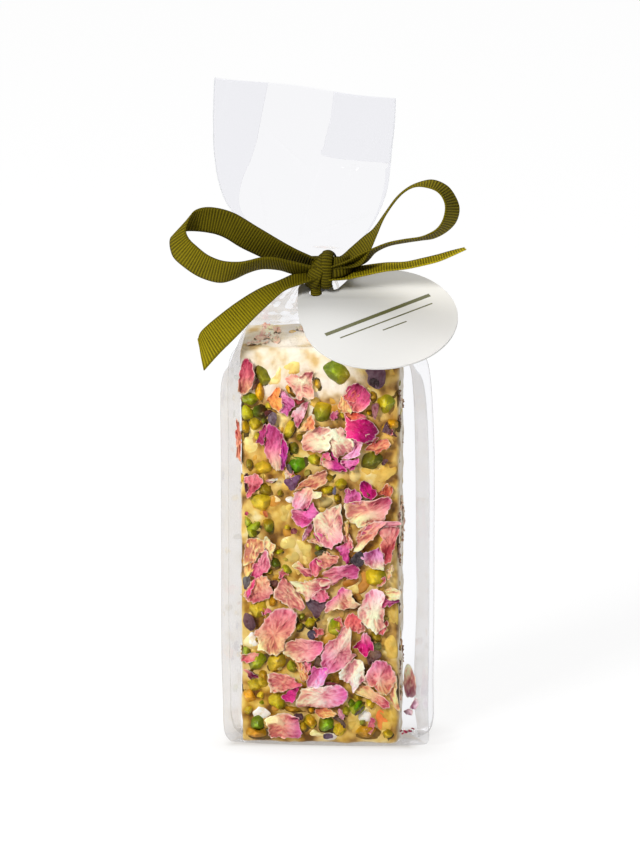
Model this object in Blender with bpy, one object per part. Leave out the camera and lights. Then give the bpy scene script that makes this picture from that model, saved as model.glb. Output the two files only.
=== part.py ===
"""Nougat slice standing on end in a tied clear bag, with a ribbon bow and a round swing tag.

The front of the slice faces -Y, and the origin is the middle of its base.
Sizes are in millimetres and are turned into metres where a mesh is made.
"""
import math

import bmesh
import bpy
from mathutils import Matrix, Vector

MM = 0.001

# Slice and bag
FRONT_DEPTH = 12.8
PANEL_POINTS = 13
PANEL_ROUNDING = 0.96
FLARE_START = 155.5
FLARE_SLOPE_START = 160.0
FLARE_TOP = 204.0
FLARE_SLOPE = -0.11
FLARE_WAVE = 2.0
FLARE_WAVE_TURNS = 1.35
FLARE_WAVE_PHASE = 0.6

# Each level of the bag: height, left edge, right edge, half depth, how far the side
# gusset is tucked in, and how round the section is (0 a box, 1 a lens)
BAG_LEVELS = (
    (0.0, -28.4, 32.4, 11.8, 3.0, 0.4),
    (1.6, -29.2, 33.2, 12.2, 4.0, 0.3),
    (4.0, -29.9, 33.6, 12.5, 4.6, 0.15),
    (9.0, -30.2, 33.5, 12.7, 5.0, 0.0),
    (16.0, -30.3, 33.4, 12.8, 5.0, 0.0),
    (32.0, -30.7, 33.6, 12.8, 5.0, 0.0),
    (60.0, -30.7, 33.6, 12.8, 5.0, 0.0),
    (90.0, -30.7, 33.5, 12.8, 5.0, 0.0),
    (114.0, -30.6, 32.0, 12.8, 5.0, 0.0),
    (121.0, -27.8, 28.6, 12.8, 3.0, 0.0),
    (126.0, -26.0, 26.0, 11.8, 1.0, 0.1),
    (132.0, -22.6, 20.6, 9.0, 0.6, 0.3),
    (137.0, -18.6, 15.6, 6.8, 0.4, 0.5),
    (141.0, -14.4, 12.0, 5.2, 0.0, 0.7),
    (144.5, -10.6, 9.0, 4.3, -0.2, 0.9),
    (147.2, -7.8, 7.8, 3.9, -0.3, 1.0),
    (153.2, -7.8, 7.8, 3.8, -0.3, 1.0),
    (155.5, -14.6, 10.2, 2.6, -0.4, 1.0),
    (160.0, -22.0, 13.8, 1.7, -0.5, 1.0),
    (167.0, -29.2, 17.4, 1.1, -0.5, 0.6),
    (174.0, -32.2, 19.6, 0.9, -0.5, 0.4),
    (185.0, -33.8, 20.8, 0.8, -0.5, 0.3),
    (195.0, -33.8, 21.8, 0.8, -0.5, 0.3),
    (FLARE_TOP, -33.4, 22.2, 0.8, -0.5, 0.3),
)

# Toppings that stand out on the front: middle x, middle z, width, height, turn in degrees
PETALS = (
    (-22.8, 116.8, 4.5, 11.0, 0), (-5.9, 113.0, 9.5, 9.0, 20), (-14.2, 109.8, 5.0, 7.0, 30),
    (10.8, 110.4, 8.0, 8.0, 10), (12.0, 101.0, 9.5, 10.0, 40), (-14.5, 95.0, 7.5, 15.0, 15),
    (-2.2, 96.2, 8.5, 8.0, 60), (7.4, 94.0, 10.0, 9.5, 20), (18.2, 95.0, 8.0, 4.5, 0),
    (-20.7, 82.4, 5.5, 7.0, 15), (-2.2, 84.9, 9.0, 5.5, 30), (-4.9, 75.4, 9.5, 12.0, 70),
    (13.6, 75.1, 16.0, 12.0, 15), (2.5, 69.4, 9.5, 14.0, 55), (17.6, 67.2, 13.5, 9.5, 25),
    (8.3, 63.4, 7.0, 12.0, 40), (-17.6, 62.2, 9.0, 8.5, 10), (-19.4, 49.2, 9.0, 8.0, 30),
    (-9.6, 48.0, 10.0, 10.5, 20), (5.5, 54.6, 12.5, 7.5, 20), (-3.4, 50.2, 13.0, 7.5, 10),
    (16.0, 59.0, 7.5, 6.0, 0), (5.2, 45.7, 11.0, 7.5, 20), (16.0, 43.2, 8.5, 14.0, 10),
    (-13.9, 36.9, 13.0, 14.5, 40), (-5.6, 30.3, 12.5, 7.5, 15), (4.3, 30.3, 9.5, 15.0, 25),
    (13.3, 32.5, 6.5, 8.5, 0), (18.5, 21.8, 10.0, 11.5, 10), (9.0, 25.6, 8.5, 11.5, 10),
    (-11.7, 20.2, 9.5, 6.5, 20), (0.3, 15.8, 15.5, 7.5, 20), (15.4, 15.8, 10.5, 6.5, 10),
    (-12.0, 7.8, 11.0, 8.5, 30),
)
# Nut pieces and fruit: middle x, middle z, size
NUTS = (
    (-17.9, 116.4, 4.6), (4.6, 117.4, 7.0), (-21.9, 109.5, 4.6), (16.7, 116.4, 5.4), (0.6, 105.4, 5.0),
    (-18.8, 104.8, 5.0), (20.4, 107.9, 4.8), (-7.1, 89.6, 6.0), (15.7, 90.2, 5.8), (-17.6, 80.8, 5.0),
    (5.9, 82.7, 5.2), (-21.3, 70.0, 5.4), (-16.4, 68.5, 4.6), (16.9, 53.6, 6.0), (-13.9, 57.9, 4.8),
    (-19.4, 42.6, 4.8), (4.3, 37.2, 5.2), (-3.7, 38.8, 4.6), (-19.7, 26.2, 5.4), (17.0, 29.0, 5.6),
    (-21.2, 18.9, 4.8), (10.5, 12.9, 5.4), (-13.8, 13.8, 5.2), (-3.4, 7.3, 4.8), (18.8, 8.4, 7.6),
    (5.2, 6.4, 4.8), (14.6, 5.0, 5.0), (-20.6, 5.6, 5.0), (-22.2, 55.0, 4.6), (21.6, 84.0, 4.6),
)
PETAL_RISE = 1.7
PETAL_TAPER = 0.3
NUT_RISE = 0.55
NUT_HEIGHT = 0.8
NUT_SPIN = 1.7

# Ribbon: the middle of its width on each station, then how far its front edge stands
# to the right of and above its back edge
RIBBON_WIDTH = 10.0
RIBBON_THICKNESS = 0.8
STATION_STEPS = 3
LEFT_LOOP = (
    (1.0, -8.6, 150.6, 1.0, 4.5), (-3.4, -8.2, 151.6, 1.8, 5.2), (-11.2, -8.2, 153.8, 3.2, 7.0),
    (-21.5, -9.0, 159.1, 4.6, 7.6), (-28.5, -10.0, 163.4, 3.4, 8.3), (-34.4, -10.5, 165.0, 1.6, 8.6),
    (-39.8, -10.5, 164.7, 3.2, 7.5), (-42.7, -10.5, 162.7, 4.8, 5.8), (-44.0, -10.5, 159.9, 5.4, 4.6),
    (-43.1, -10.5, 156.4, 5.5, 6.2), (-40.6, -10.5, 153.8, 4.7, 7.1), (-36.1, -10.5, 150.6, 3.2, 7.7),
    (-30.9, -11.0, 149.0, 1.8, 7.8), (-26.3, -11.5, 149.4, 2.3, 6.8), (-22.2, -11.5, 150.8, 1.2, 5.4),
    (-18.2, -11.5, 151.9, 0.6, 5.1), (-13.6, -11.0, 151.7, -0.6, 5.3), (-9.0, -10.4, 150.5, -0.7, 5.6),
    (-3.6, -9.6, 149.5, 1.0, 4.5), (0.5, -9.0, 149.0, 1.0, 3.5),
)
RIGHT_LOOP = (
    (2.0, -8.6, 150.6, 3.0, 0.5), (7.7, -9.2, 152.3, 4.0, -1.6), (10.8, -10.2, 154.4, 4.3, -2.9),
    (14.1, -11.0, 158.6, 2.8, -1.8), (16.6, -11.5, 162.2, 1.6, 0.2), (19.6, -12.0, 167.7, 0.8, 1.5),
    (23.0, -12.0, 172.6, 0.7, 1.6), (26.1, -12.0, 175.5, 0.7, 1.6), (29.5, -12.0, 177.0, 0.7, 0.9),
    (33.6, -12.0, 177.3, -0.2, -0.6), (36.9, -12.0, 176.0, -1.8, -0.3), (39.0, -12.0, 173.6, -2.6, 0.3),
    (40.2, -12.0, 170.1, -3.6, 1.6), (39.5, -12.0, 166.3, -3.4, 2.3), (37.4, -12.0, 163.4, -2.1, 2.9),
    (34.3, -12.0, 161.4, -0.3, 3.4), (30.5, -12.0, 160.3, 0.4, 2.7), (25.6, -12.0, 159.5, 0.4, 2.7),
    (20.6, -11.5, 158.3, 0.4, 2.7), (16.4, -11.0, 156.3, 0.0, 3.0), (12.5, -10.4, 153.5, -1.5, 4.1),
    (7.6, -9.8, 151.0, 0.0, 4.4), (2.5, -9.4, 149.6, 0.5, 3.5),
)
LEFT_TAIL = (
    (-0.5, -9.2, 148.6, 0.5, -1.0), (-6.6, -10.4, 147.2, 0.7, -2.0), (-11.9, -11.5, 145.1, 2.2, -1.1),
    (-16.9, -13.0, 142.3, 4.3, -2.1), (-22.5, -14.5, 138.1, 5.2, -3.6), (-28.0, -16.0, 133.3, 5.7, -5.1),
    (-33.6, -17.5, 128.1, 5.0, -6.8), (-36.4, -18.0, 124.4, 2.2, -9.2),
)
RIGHT_TAIL = (
    (1.5, -9.2, 147.6, 0.5, -0.5), (7.3, -9.4, 148.3, 0.7, -1.0), (11.7, -10.2, 149.5, 1.3, -1.1),
    (19.5, -11.5, 151.2, 0.7, -0.6), (26.0, -13.0, 152.1, 1.0, -0.1), (31.0, -14.0, 153.4, 1.0, -0.1),
    (36.0, -15.0, 154.9, 1.0, 0.0), (40.4, -16.0, 156.7, 1.0, 0.6), (44.5, -17.0, 158.4, 1.0, 1.5),
)
# The ribbon is bunched to a narrow strand where it passes through the tag's hole
STRAND_WIDTH = 3.0
STRAND_X = -1.7
STRAND = ((-10.9, 146.6), (-10.6, 144.6), (-9.7, 142.6), (-8.6, 140.9), (-7.0, 140.5),
          (-5.8, 141.9), (-5.2, 143.6), (-5.1, 145.6), (-5.0, 148.4))
# Blocks of the knot: low corner, high corner, edge rounding
KNOT_CORE = ((-3.4, -12.4, 145.4), (4.0, -4.9, 153.8), 1.8)
KNOT_WRAP = ((0.3, -13.0, 144.9), (3.6, -5.6, 154.3), 1.4)
KNOT_SIDE = ((2.0, -12.0, 147.9), (8.4, -5.8, 153.6), 1.5)
COLLAR_INNER = (8.6, 4.4)
COLLAR_OUTER = (9.8, 5.5)
COLLAR_BOTTOM = 147.0
COLLAR_TOP = 151.3
COLLAR_STEPS = 32

# Swing tag: a round card with a holed tab, leaning back on the bag's shoulder
TAG_RADIUS = 23.75
TAG_THICKNESS = 0.6
TAG_CENTRE = (18.7, -20.5, 136.75)
TAG_LEAN = math.radians(28.3)
TAG_HOLE = (-20.4, 12.3)
TAG_HOLE_RADIUS = 2.1
TAG_HOLE_STEPS = 20
TAG_ARC_FROM = math.radians(-169.0)
TAG_ARC_TO = math.radians(106.0)
TAG_ARC_STEPS = 44
TAG_TAB = ((-9.0, 20.8), (-10.6, 19.0), (-12.2, 16.4), (-13.8, 14.0), (-14.8, 13.5), (-15.2, 14.4),
           (-15.6, 15.6), (-16.6, 16.2), (-24.6, 16.2), (-25.6, 15.4), (-25.9, 14.2), (-25.8, 8.0),
           (-25.4, 3.2), (-24.6, -1.4))


def clear_scene():
    """Take every object out of the scene."""
    for item in list(bpy.data.objects):
        bpy.data.objects.remove(item, do_unlink=True)


def make_material(name, colour, roughness, metallic=0.0, alpha=1.0):
    """A plain surface with the part's colour."""
    material = bpy.data.materials.new(name)
    material.use_nodes = True
    surface = material.node_tree.nodes["Principled BSDF"]
    surface.inputs["Base Color"].default_value = (*colour, 1.0)
    surface.inputs["Roughness"].default_value = roughness
    surface.inputs["Metallic"].default_value = metallic
    surface.inputs["Alpha"].default_value = alpha
    return material


def add_object(name, mesh, collection, material=None):
    """Put a mesh in the scene as a named object."""
    item = bpy.data.objects.new(name, mesh)
    collection.objects.link(item)
    if material:
        mesh.materials.append(material)
    return item


def mesh_from_rings(name, rings):
    """Join rings of equal length into one closed skin, with a cap on its first and last ring."""
    sheet = bmesh.new()
    count = len(rings[0])
    rows = [[sheet.verts.new(Vector(point) * MM) for point in ring] for ring in rings]
    for lower, upper in zip(rows, rows[1:]):
        for i in range(count):
            j = (i + 1) % count
            sheet.faces.new((lower[i], lower[j], upper[j], upper[i]))
    for row in (rows[0], rows[-1]):
        cap_row(sheet, row)
    bmesh.ops.recalc_face_normals(sheet, faces=sheet.faces)
    mesh = bpy.data.meshes.new(name)
    sheet.to_mesh(mesh)
    sheet.free()
    return mesh


def cap_row(sheet, row):
    """Close a ring with strips between its front half and its back half."""
    count = len(row)
    half = count // 2
    sheet.faces.new((row[0], row[1], row[count - 1]))
    for i in range(1, half - 1):
        sheet.faces.new((row[i], row[i + 1], row[count - i - 1], row[count - i]))
    sheet.faces.new((row[half - 1], row[half], row[half + 1]))


def bag_ring(level):
    """One section of the bag: left crease, front panel, right crease, back panel."""
    height, left, right, depth, tuck, rounding = level
    middle = (left + right) / 2
    half = (right - left) / 2
    front = []
    back = []
    for i in range(PANEL_POINTS):
        u = 2 * i / (PANEL_POINTS - 1) - 1
        bulge = (1 - rounding) + rounding * math.sqrt(1 - PANEL_ROUNDING * u * u)
        front.append((middle + half * u, -depth * bulge))
        back.append((middle + half * u, depth * bulge))
    section = [(left + tuck, 0.0)] + front + [(right - tuck, 0.0)] + back[::-1]
    return [place_on_flare(x, y, height, (x - middle) / half) for x, y in section]


def place_on_flare(x, y, height, u):
    """Above the neck the section is a thin sheet that waves and whose top edge slants."""
    rise = max(0.0, (height - FLARE_START) / (FLARE_TOP - FLARE_START))
    slant = max(0.0, (height - FLARE_SLOPE_START) / (FLARE_TOP - FLARE_SLOPE_START))
    wave = FLARE_WAVE * math.sqrt(rise) * math.cos(FLARE_WAVE_TURNS * math.pi * u + FLARE_WAVE_PHASE)
    return (x, y + wave, height + FLARE_SLOPE * slant * x)


def add_petal(collection, number, x, z, width, height, turn):
    """A petal is a flat lens, narrower at its foot, half sunk in the front."""
    sheet = bmesh.new()
    bmesh.ops.create_uvsphere(sheet, u_segments=8, v_segments=4, radius=1.0)
    for point in sheet.verts:
        point.co.x *= 1 + PETAL_TAPER * point.co.z
    grow = Matrix.Diagonal((width / 2 * MM, PETAL_RISE * MM, height / 2 * MM, 1.0))
    spin = Matrix.Rotation(math.radians(turn), 4, "Y")
    place = Matrix.Translation(Vector((x, -FRONT_DEPTH, z)) * MM)
    bmesh.ops.transform(sheet, matrix=place @ spin @ grow, verts=sheet.verts)
    name = f"petal_{number:02d}"
    mesh = bpy.data.meshes.new(name)
    sheet.to_mesh(mesh)
    sheet.free()
    add_object(name, mesh, collection)


def add_nut(collection, number, x, z, size):
    """A nut piece is a small chunk, half sunk in the front."""
    sheet = bmesh.new()
    bmesh.ops.create_icosphere(sheet, subdivisions=1, radius=size / 2 * MM)
    spin = Matrix.Rotation(number * NUT_SPIN, 4, Vector((0.3, 1.0, 0.5)).normalized())
    grow = Matrix.Diagonal((1.0, NUT_RISE, NUT_HEIGHT, 1.0))
    place = Matrix.Translation(Vector((x, -FRONT_DEPTH, z)) * MM)
    bmesh.ops.transform(sheet, matrix=place @ grow @ spin, verts=sheet.verts)
    name = f"nut_{number:02d}"
    mesh = bpy.data.meshes.new(name)
    sheet.to_mesh(mesh)
    sheet.free()
    add_object(name, mesh, collection)


def fuse(item, extras):
    """Join every object of a collection to the item, apply it and remove the extras."""
    join = item.modifiers.new("Fuse", "BOOLEAN")
    join.operation = "UNION"
    join.operand_type = "COLLECTION"
    join.collection = extras
    join.solver = "EXACT"
    shape = item.evaluated_get(bpy.context.evaluated_depsgraph_get())
    fused = bpy.data.meshes.new_from_object(shape)
    fused.name = item.name
    item.modifiers.clear()
    item.data = fused
    for piece in list(extras.objects):
        bpy.data.objects.remove(piece, do_unlink=True)
    bpy.data.collections.remove(extras)


def new_extras(name):
    """A collection that holds pieces until they are fused."""
    extras = bpy.data.collections.new(name)
    bpy.context.scene.collection.children.link(extras)
    return extras


def make_bag(collection, material):
    """The filled bag: slice, tucked sides, shoulder, gathered neck and open flared top."""
    rings = [bag_ring(level) for level in BAG_LEVELS]
    bag = add_object("filled_bag", mesh_from_rings("filled_bag", rings), collection, material)
    extras = new_extras("toppings")
    for number, petal in enumerate(PETALS):
        add_petal(extras, number, *petal)
    for number, nut in enumerate(NUTS):
        add_nut(extras, number, *nut)
    fuse(bag, extras)


def smooth_route(stations, steps):
    """Points on a smooth curve through the stations, with a few steps between each two."""
    route = []
    last = len(stations) - 1
    for i in range(last):
        before = Vector(stations[max(i - 1, 0)])
        start = Vector(stations[i])
        end = Vector(stations[i + 1])
        after = Vector(stations[min(i + 2, last)])
        for k in range(steps):
            t = k / steps
            bend = (2 * before - 5 * start + 4 * end - after) * t * t
            twist = (3 * start - before - 3 * end + after) * t * t * t
            route.append(start + ((end - before) * t + bend + twist) / 2)
    route.append(Vector(stations[last]))
    return route


def strip_mesh(name, centres, acrosses, width, thickness):
    """A flat ribbon along its centres, with its width along each across direction."""
    rings = []
    last = len(centres) - 1
    for i, centre in enumerate(centres):
        along = centres[min(i + 1, last)] - centres[max(i - 1, 0)]
        side = acrosses[i].normalized() * width / 2
        lift = along.cross(side).normalized() * thickness / 2
        rings.append([centre - side - lift, centre - side + lift, centre + side + lift, centre + side - lift])
    return mesh_from_rings(name, rings)


def add_ribbon(collection, name, stations):
    """One run of ribbon. Its depth follows from its width and the lean of its front edge."""
    route = smooth_route([Vector(station) for station in stations], STATION_STEPS)
    centres = [Vector(point[:3]) for point in route]
    acrosses = []
    for point in route:
        lean_x, lean_z = point[3], point[4]
        depth = math.sqrt(max(1.0, RIBBON_WIDTH ** 2 - lean_x ** 2 - lean_z ** 2))
        acrosses.append(Vector((lean_x, -depth, lean_z)))
    add_object(name, strip_mesh(name, centres, acrosses, RIBBON_WIDTH, RIBBON_THICKNESS), collection)


def add_block(collection, name, low, high, rounding):
    """A block of the knot with rounded edges."""
    low, high = Vector(low) * MM, Vector(high) * MM
    sheet = bmesh.new()
    bmesh.ops.create_cube(sheet, size=1.0)
    size = high - low
    grow = Matrix.Diagonal((size.x, size.y, size.z, 1.0))
    bmesh.ops.transform(sheet, matrix=Matrix.Translation((low + high) / 2) @ grow, verts=sheet.verts)
    bmesh.ops.bevel(sheet, geom=sheet.edges[:], offset=rounding * MM, segments=2, profile=0.5, affect="EDGES")
    mesh = bpy.data.meshes.new(name)
    sheet.to_mesh(mesh)
    sheet.free()
    return add_object(name, mesh, collection)


def add_collar(collection, name):
    """The ribbon's turn round the neck, an upright oval band."""
    sheet = bmesh.new()
    rows = []
    for radii in (COLLAR_OUTER, COLLAR_INNER):
        for z in (COLLAR_BOTTOM, COLLAR_TOP):
            turn = [2 * math.pi * i / COLLAR_STEPS for i in range(COLLAR_STEPS)]
            rows.append([sheet.verts.new(Vector((radii[0] * math.cos(a), radii[1] * math.sin(a), z)) * MM)
                         for a in turn])
    outer_low, outer_high, inner_low, inner_high = rows
    for first, second in ((outer_low, outer_high), (outer_high, inner_high),
                          (inner_high, inner_low), (inner_low, outer_low)):
        for i in range(COLLAR_STEPS):
            j = (i + 1) % COLLAR_STEPS
            sheet.faces.new((first[i], first[j], second[j], second[i]))
    bmesh.ops.recalc_face_normals(sheet, faces=sheet.faces)
    mesh = bpy.data.meshes.new(name)
    sheet.to_mesh(mesh)
    sheet.free()
    add_object(name, mesh, collection)


def add_strand(collection):
    """The bunched stretch of ribbon that holds the tag by its hole."""
    route = smooth_route([Vector((STRAND_X, y, z)) for y, z in STRAND], STATION_STEPS)
    acrosses = [Vector((1.0, 0.0, 0.0)) for _ in route]
    mesh = strip_mesh("strand", route, acrosses, STRAND_WIDTH, RIBBON_THICKNESS)
    add_object("strand", mesh, collection)


def make_bow(collection, material):
    """The bow: knot, collar round the neck, two loops, two tails and the tag's strand."""
    bow = add_block(collection, "ribbon_bow", *KNOT_CORE)
    bow.data.materials.append(material)
    extras = new_extras("ribbon_runs")
    add_block(extras, "knot_wrap", *KNOT_WRAP)
    add_block(extras, "knot_side", *KNOT_SIDE)
    add_collar(extras, "collar")
    add_strand(extras)
    for name, stations in (("left_loop", LEFT_LOOP), ("right_loop", RIGHT_LOOP),
                           ("left_tail", LEFT_TAIL), ("right_tail", RIGHT_TAIL)):
        add_ribbon(extras, name, stations)
    fuse(bow, extras)


def circle_points(centre, radius, steps):
    """Points evenly round a circle."""
    turn = [2 * math.pi * i / steps for i in range(steps)]
    return [(centre[0] + radius * math.cos(a), centre[1] + radius * math.sin(a)) for a in turn]


def tag_outline():
    """The card's edge: most of a circle, then the tab that holds the hole."""
    span = TAG_ARC_TO - TAG_ARC_FROM
    arc = [TAG_ARC_FROM + span * i / TAG_ARC_STEPS for i in range(TAG_ARC_STEPS + 1)]
    return [(TAG_RADIUS * math.cos(a), TAG_RADIUS * math.sin(a)) for a in arc] + list(TAG_TAB)


def make_tag(collection, material):
    """The swing tag, a flat card cut from its outline and leaned back on the bag."""
    curve = bpy.data.curves.new("tag_outline", "CURVE")
    curve.dimensions = "2D"
    curve.fill_mode = "BOTH"
    curve.extrude = TAG_THICKNESS / 2 * MM
    for outline in (tag_outline(), circle_points(TAG_HOLE, TAG_HOLE_RADIUS, TAG_HOLE_STEPS)):
        spline = curve.splines.new("POLY")
        spline.points.add(len(outline) - 1)
        for point, (x, y) in zip(spline.points, outline):
            point.co = (x * MM, y * MM, 0.0, 1.0)
        spline.use_cyclic_u = True
    pattern = bpy.data.objects.new("tag_outline", curve)
    collection.objects.link(pattern)
    shape = pattern.evaluated_get(bpy.context.evaluated_depsgraph_get())
    mesh = bpy.data.meshes.new_from_object(shape)
    mesh.name = "gift_tag"
    sheet = bmesh.new()
    sheet.from_mesh(mesh)
    bmesh.ops.remove_doubles(sheet, verts=sheet.verts, dist=0.00001)
    bmesh.ops.recalc_face_normals(sheet, faces=sheet.faces)
    sheet.to_mesh(mesh)
    sheet.free()
    bpy.data.objects.remove(pattern, do_unlink=True)
    tag = add_object("gift_tag", mesh, collection, material)
    tag.location = Vector(TAG_CENTRE) * MM
    tag.rotation_euler = (TAG_LEAN, 0.0, 0.0)


def main():
    """Build the three nodes of the part."""
    clear_scene()
    model = bpy.data.collections.new("nougat_slice")
    bpy.context.scene.collection.children.link(model)
    make_bag(model, make_material("nougat_in_film", (0.80, 0.66, 0.42), 0.35))
    make_bow(model, make_material("olive_ribbon", (0.12, 0.115, 0.008), 0.7))
    make_tag(model, make_material("white_card", (0.84, 0.84, 0.82), 0.6))


main()
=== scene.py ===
"""Nougat slice in a clear bag with a ribbon bow and a swing tag: looks, light and camera.

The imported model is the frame. The front of the slice faces -Y and sizes in the tables are in
millimetres.
"""
import math
import random

import bmesh
import bpy
from bpy.props import FloatProperty, FloatVectorProperty, IntProperty, PointerProperty
from mathutils import Matrix, Vector, noise


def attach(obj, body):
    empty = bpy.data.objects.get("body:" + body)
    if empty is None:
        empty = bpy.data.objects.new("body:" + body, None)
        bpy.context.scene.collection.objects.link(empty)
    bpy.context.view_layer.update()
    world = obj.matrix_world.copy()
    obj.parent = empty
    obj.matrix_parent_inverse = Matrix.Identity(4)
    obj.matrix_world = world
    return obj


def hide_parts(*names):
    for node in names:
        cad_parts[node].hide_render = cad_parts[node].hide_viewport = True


bl_info = {
    "name": "Nougat Slice in a Tied Bag",
    "version": (1, 0, 0),
    "blender": (4, 5, 0),
    "location": "3D View > Sidebar > Nougat Slice",
    "description": "Builds the nougat slice, its film bag, ribbon bow and swing tag, and the studio",
    "category": "Object",
}

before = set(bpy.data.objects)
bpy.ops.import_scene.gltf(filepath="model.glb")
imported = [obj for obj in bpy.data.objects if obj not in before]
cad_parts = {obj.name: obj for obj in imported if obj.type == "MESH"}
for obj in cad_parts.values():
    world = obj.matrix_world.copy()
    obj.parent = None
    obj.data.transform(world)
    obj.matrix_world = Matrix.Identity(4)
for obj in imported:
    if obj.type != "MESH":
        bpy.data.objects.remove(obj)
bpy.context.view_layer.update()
BODY = "root"
FOOD = "nougat_in_film"
MM = 0.001

# Front face of the nougat, and the layer just behind the film that toppings stay in
FACE_DEPTH = 11.1
PETAL_RISE = 1.0
TOPPING_LIMIT = 14.1
SLICE_LEFT = -24.7
SLICE_RIGHT = 24.1
SLICE_HALF_WIDTH = 24.4
SLICE_BACK = 10.6
SLICE_FOOT = 0.8
SLICE_TOP = 125.6
SLICE_ROUNDING = 1.1
SLICE_GRID = 1.1
TOP_RISE = 3.4
LOWEST_TOPPING = 1.2
# Toppings slow down over this depth before they reach the film
SOFT_STOP = 0.5

# Each level of the bag: height, left edge, right edge, half depth, how far the left and
# the right side are tucked in, and how round the section is (0 a box, 1 a lens)
BAG_LEVELS = (
    (0.2, -28.4, 32.4, 11.8, 3.0, 3.0, 0.4),
    (1.6, -29.2, 33.2, 12.8, 4.0, 4.0, 0.3),
    (4.0, -29.9, 33.6, 13.5, 4.6, 4.6, 0.15),
    (9.0, -30.2, 33.5, 13.8, 5.0, 5.0, 0.0),
    (16.0, -30.3, 33.4, 14.0, 5.0, 5.0, 0.0),
    (32.0, -30.7, 33.6, 14.0, 5.0, 5.0, 0.0),
    (60.0, -30.7, 33.6, 14.0, 5.0, 5.0, 0.0),
    (90.0, -30.7, 33.5, 14.0, 5.0, 5.0, 0.0),
    (114.0, -30.6, 32.0, 13.9, 5.0, 5.0, 0.0),
    (121.0, -27.8, 28.6, 13.4, 3.0, 3.0, 0.0),
    (126.5, -25.6, 25.8, 12.3, 1.0, 1.0, 0.1),
    (132.0, -22.6, 20.6, 9.6, 0.6, 0.6, 0.3),
    (137.0, -18.6, 15.6, 7.0, 0.4, 0.4, 0.5),
    (141.0, -14.4, 12.0, 5.4, 0.0, 0.0, 0.7),
    (144.5, -10.6, 9.0, 4.3, -0.2, -0.2, 0.9),
    (147.2, -7.8, 7.8, 3.9, -0.3, -0.3, 1.0),
    (152.8, -8.6, 8.0, 3.8, 0.0, 0.0, 1.0),
    (155.5, -14.6, 10.2, 2.6, 0.4, 0.4, 1.0),
    (160.0, -22.0, 13.8, 1.7, 1.0, 0.6, 1.0),
    (167.0, -29.2, 17.4, 1.2, 3.5, 0.8, 0.6),
    (174.0, -32.2, 19.6, 1.0, 7.0, 1.2, 0.4),
    (180.0, -33.3, 20.4, 0.9, 10.6, 1.4, 0.3),
    (182.6, -33.6, 20.6, 0.9, 11.9, 2.2, 0.3),
    (183.4, -33.7, 20.7, 0.9, 12.2, 20.2, 0.3),
    (187.0, -33.8, 21.0, 0.9, 13.4, 20.8, 0.3),
    (195.0, -33.8, 21.8, 0.9, 15.0, 19.8, 0.3),
    (204.0, -33.4, 22.2, 0.9, 16.4, 19.0, 0.3),
)
FLARE_START = 155.5
FLARE_SLOPE_START = 160.0
FLARE_TOP = 204.0
FLARE_SLOPE = -0.11
FLARE_WAVE = 2.0
FLARE_WAVE_TURNS = 1.35
FLARE_WAVE_PHASE = 0.6
PANEL_ROUNDING = 0.96

# Ribbon: the middle of its width on each station, then how far its front edge stands
# to the right of and above its back edge
RIBBON_WIDTH = 10.0
LEFT_LOOP = (
    (1.0, -8.6, 150.6, 1.0, 4.5), (-3.4, -8.2, 151.6, 1.8, 5.2), (-11.2, -8.2, 153.8, 3.2, 7.0),
    (-21.5, -9.0, 159.1, 4.6, 7.6), (-28.5, -10.0, 163.4, 3.4, 8.3), (-34.4, -10.5, 165.0, 1.6, 8.6),
    (-39.8, -10.5, 164.7, 3.2, 7.5), (-42.7, -10.5, 162.7, 4.8, 5.8), (-44.0, -10.5, 159.9, 5.4, 4.6),
    (-43.1, -10.5, 156.4, 5.5, 6.2), (-40.6, -10.5, 153.8, 4.7, 7.1), (-36.1, -10.5, 150.6, 3.2, 7.7),
    (-30.9, -11.0, 149.0, 1.8, 7.8), (-26.3, -11.5, 149.4, 2.3, 6.8), (-22.2, -11.5, 150.8, 1.2, 5.4),
    (-18.2, -11.5, 151.9, 0.6, 5.1), (-13.6, -11.0, 151.7, -0.6, 5.3), (-9.0, -10.4, 150.5, -0.7, 5.6),
    (-3.6, -9.6, 149.5, 1.0, 4.5), (0.5, -9.0, 149.0, 1.0, 3.5),
)
RIGHT_LOOP = (
    (2.0, -8.6, 150.6, 3.0, 0.5), (7.7, -9.2, 152.3, 4.0, -1.6), (10.8, -10.2, 154.4, 4.3, -2.9),
    (14.1, -11.0, 158.6, 2.8, -1.8), (16.6, -11.5, 162.2, 1.6, 0.2), (19.6, -12.0, 167.7, 0.8, 1.5),
    (23.0, -12.0, 172.6, 0.7, 1.6), (26.1, -12.0, 175.5, 0.7, 1.6), (29.5, -12.0, 177.0, 0.7, 0.9),
    (33.6, -12.0, 177.3, -0.2, -0.6), (36.9, -12.0, 176.0, -1.8, -0.3), (39.0, -12.0, 173.6, -2.6, 0.3),
    (40.2, -12.0, 170.1, -3.6, 1.6), (39.5, -12.0, 166.3, -3.4, 2.3), (37.4, -12.0, 163.4, -2.1, 2.9),
    (34.3, -12.0, 161.4, -0.3, 3.4), (30.5, -12.0, 160.3, 0.4, 2.7), (25.6, -12.0, 159.5, 0.4, 2.7),
    (20.6, -11.5, 158.3, 0.4, 2.7), (16.4, -11.0, 156.3, 0.0, 3.0), (12.5, -10.4, 153.5, -1.5, 4.1),
    (7.6, -9.8, 151.0, 0.0, 4.4), (2.5, -9.4, 149.6, 0.5, 3.5),
)
LEFT_TAIL = (
    (-0.5, -9.2, 148.6, 0.5, -1.0), (-6.6, -10.4, 147.2, 0.7, -2.0), (-11.9, -11.5, 145.1, 2.2, -1.1),
    (-16.9, -13.0, 142.3, 4.3, -2.1), (-22.5, -14.5, 138.1, 5.2, -3.6), (-28.0, -16.0, 133.3, 5.7, -5.1),
    (-33.6, -17.5, 128.1, 5.0, -6.8), (-36.4, -18.0, 124.4, 2.2, -9.2),
)
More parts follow.
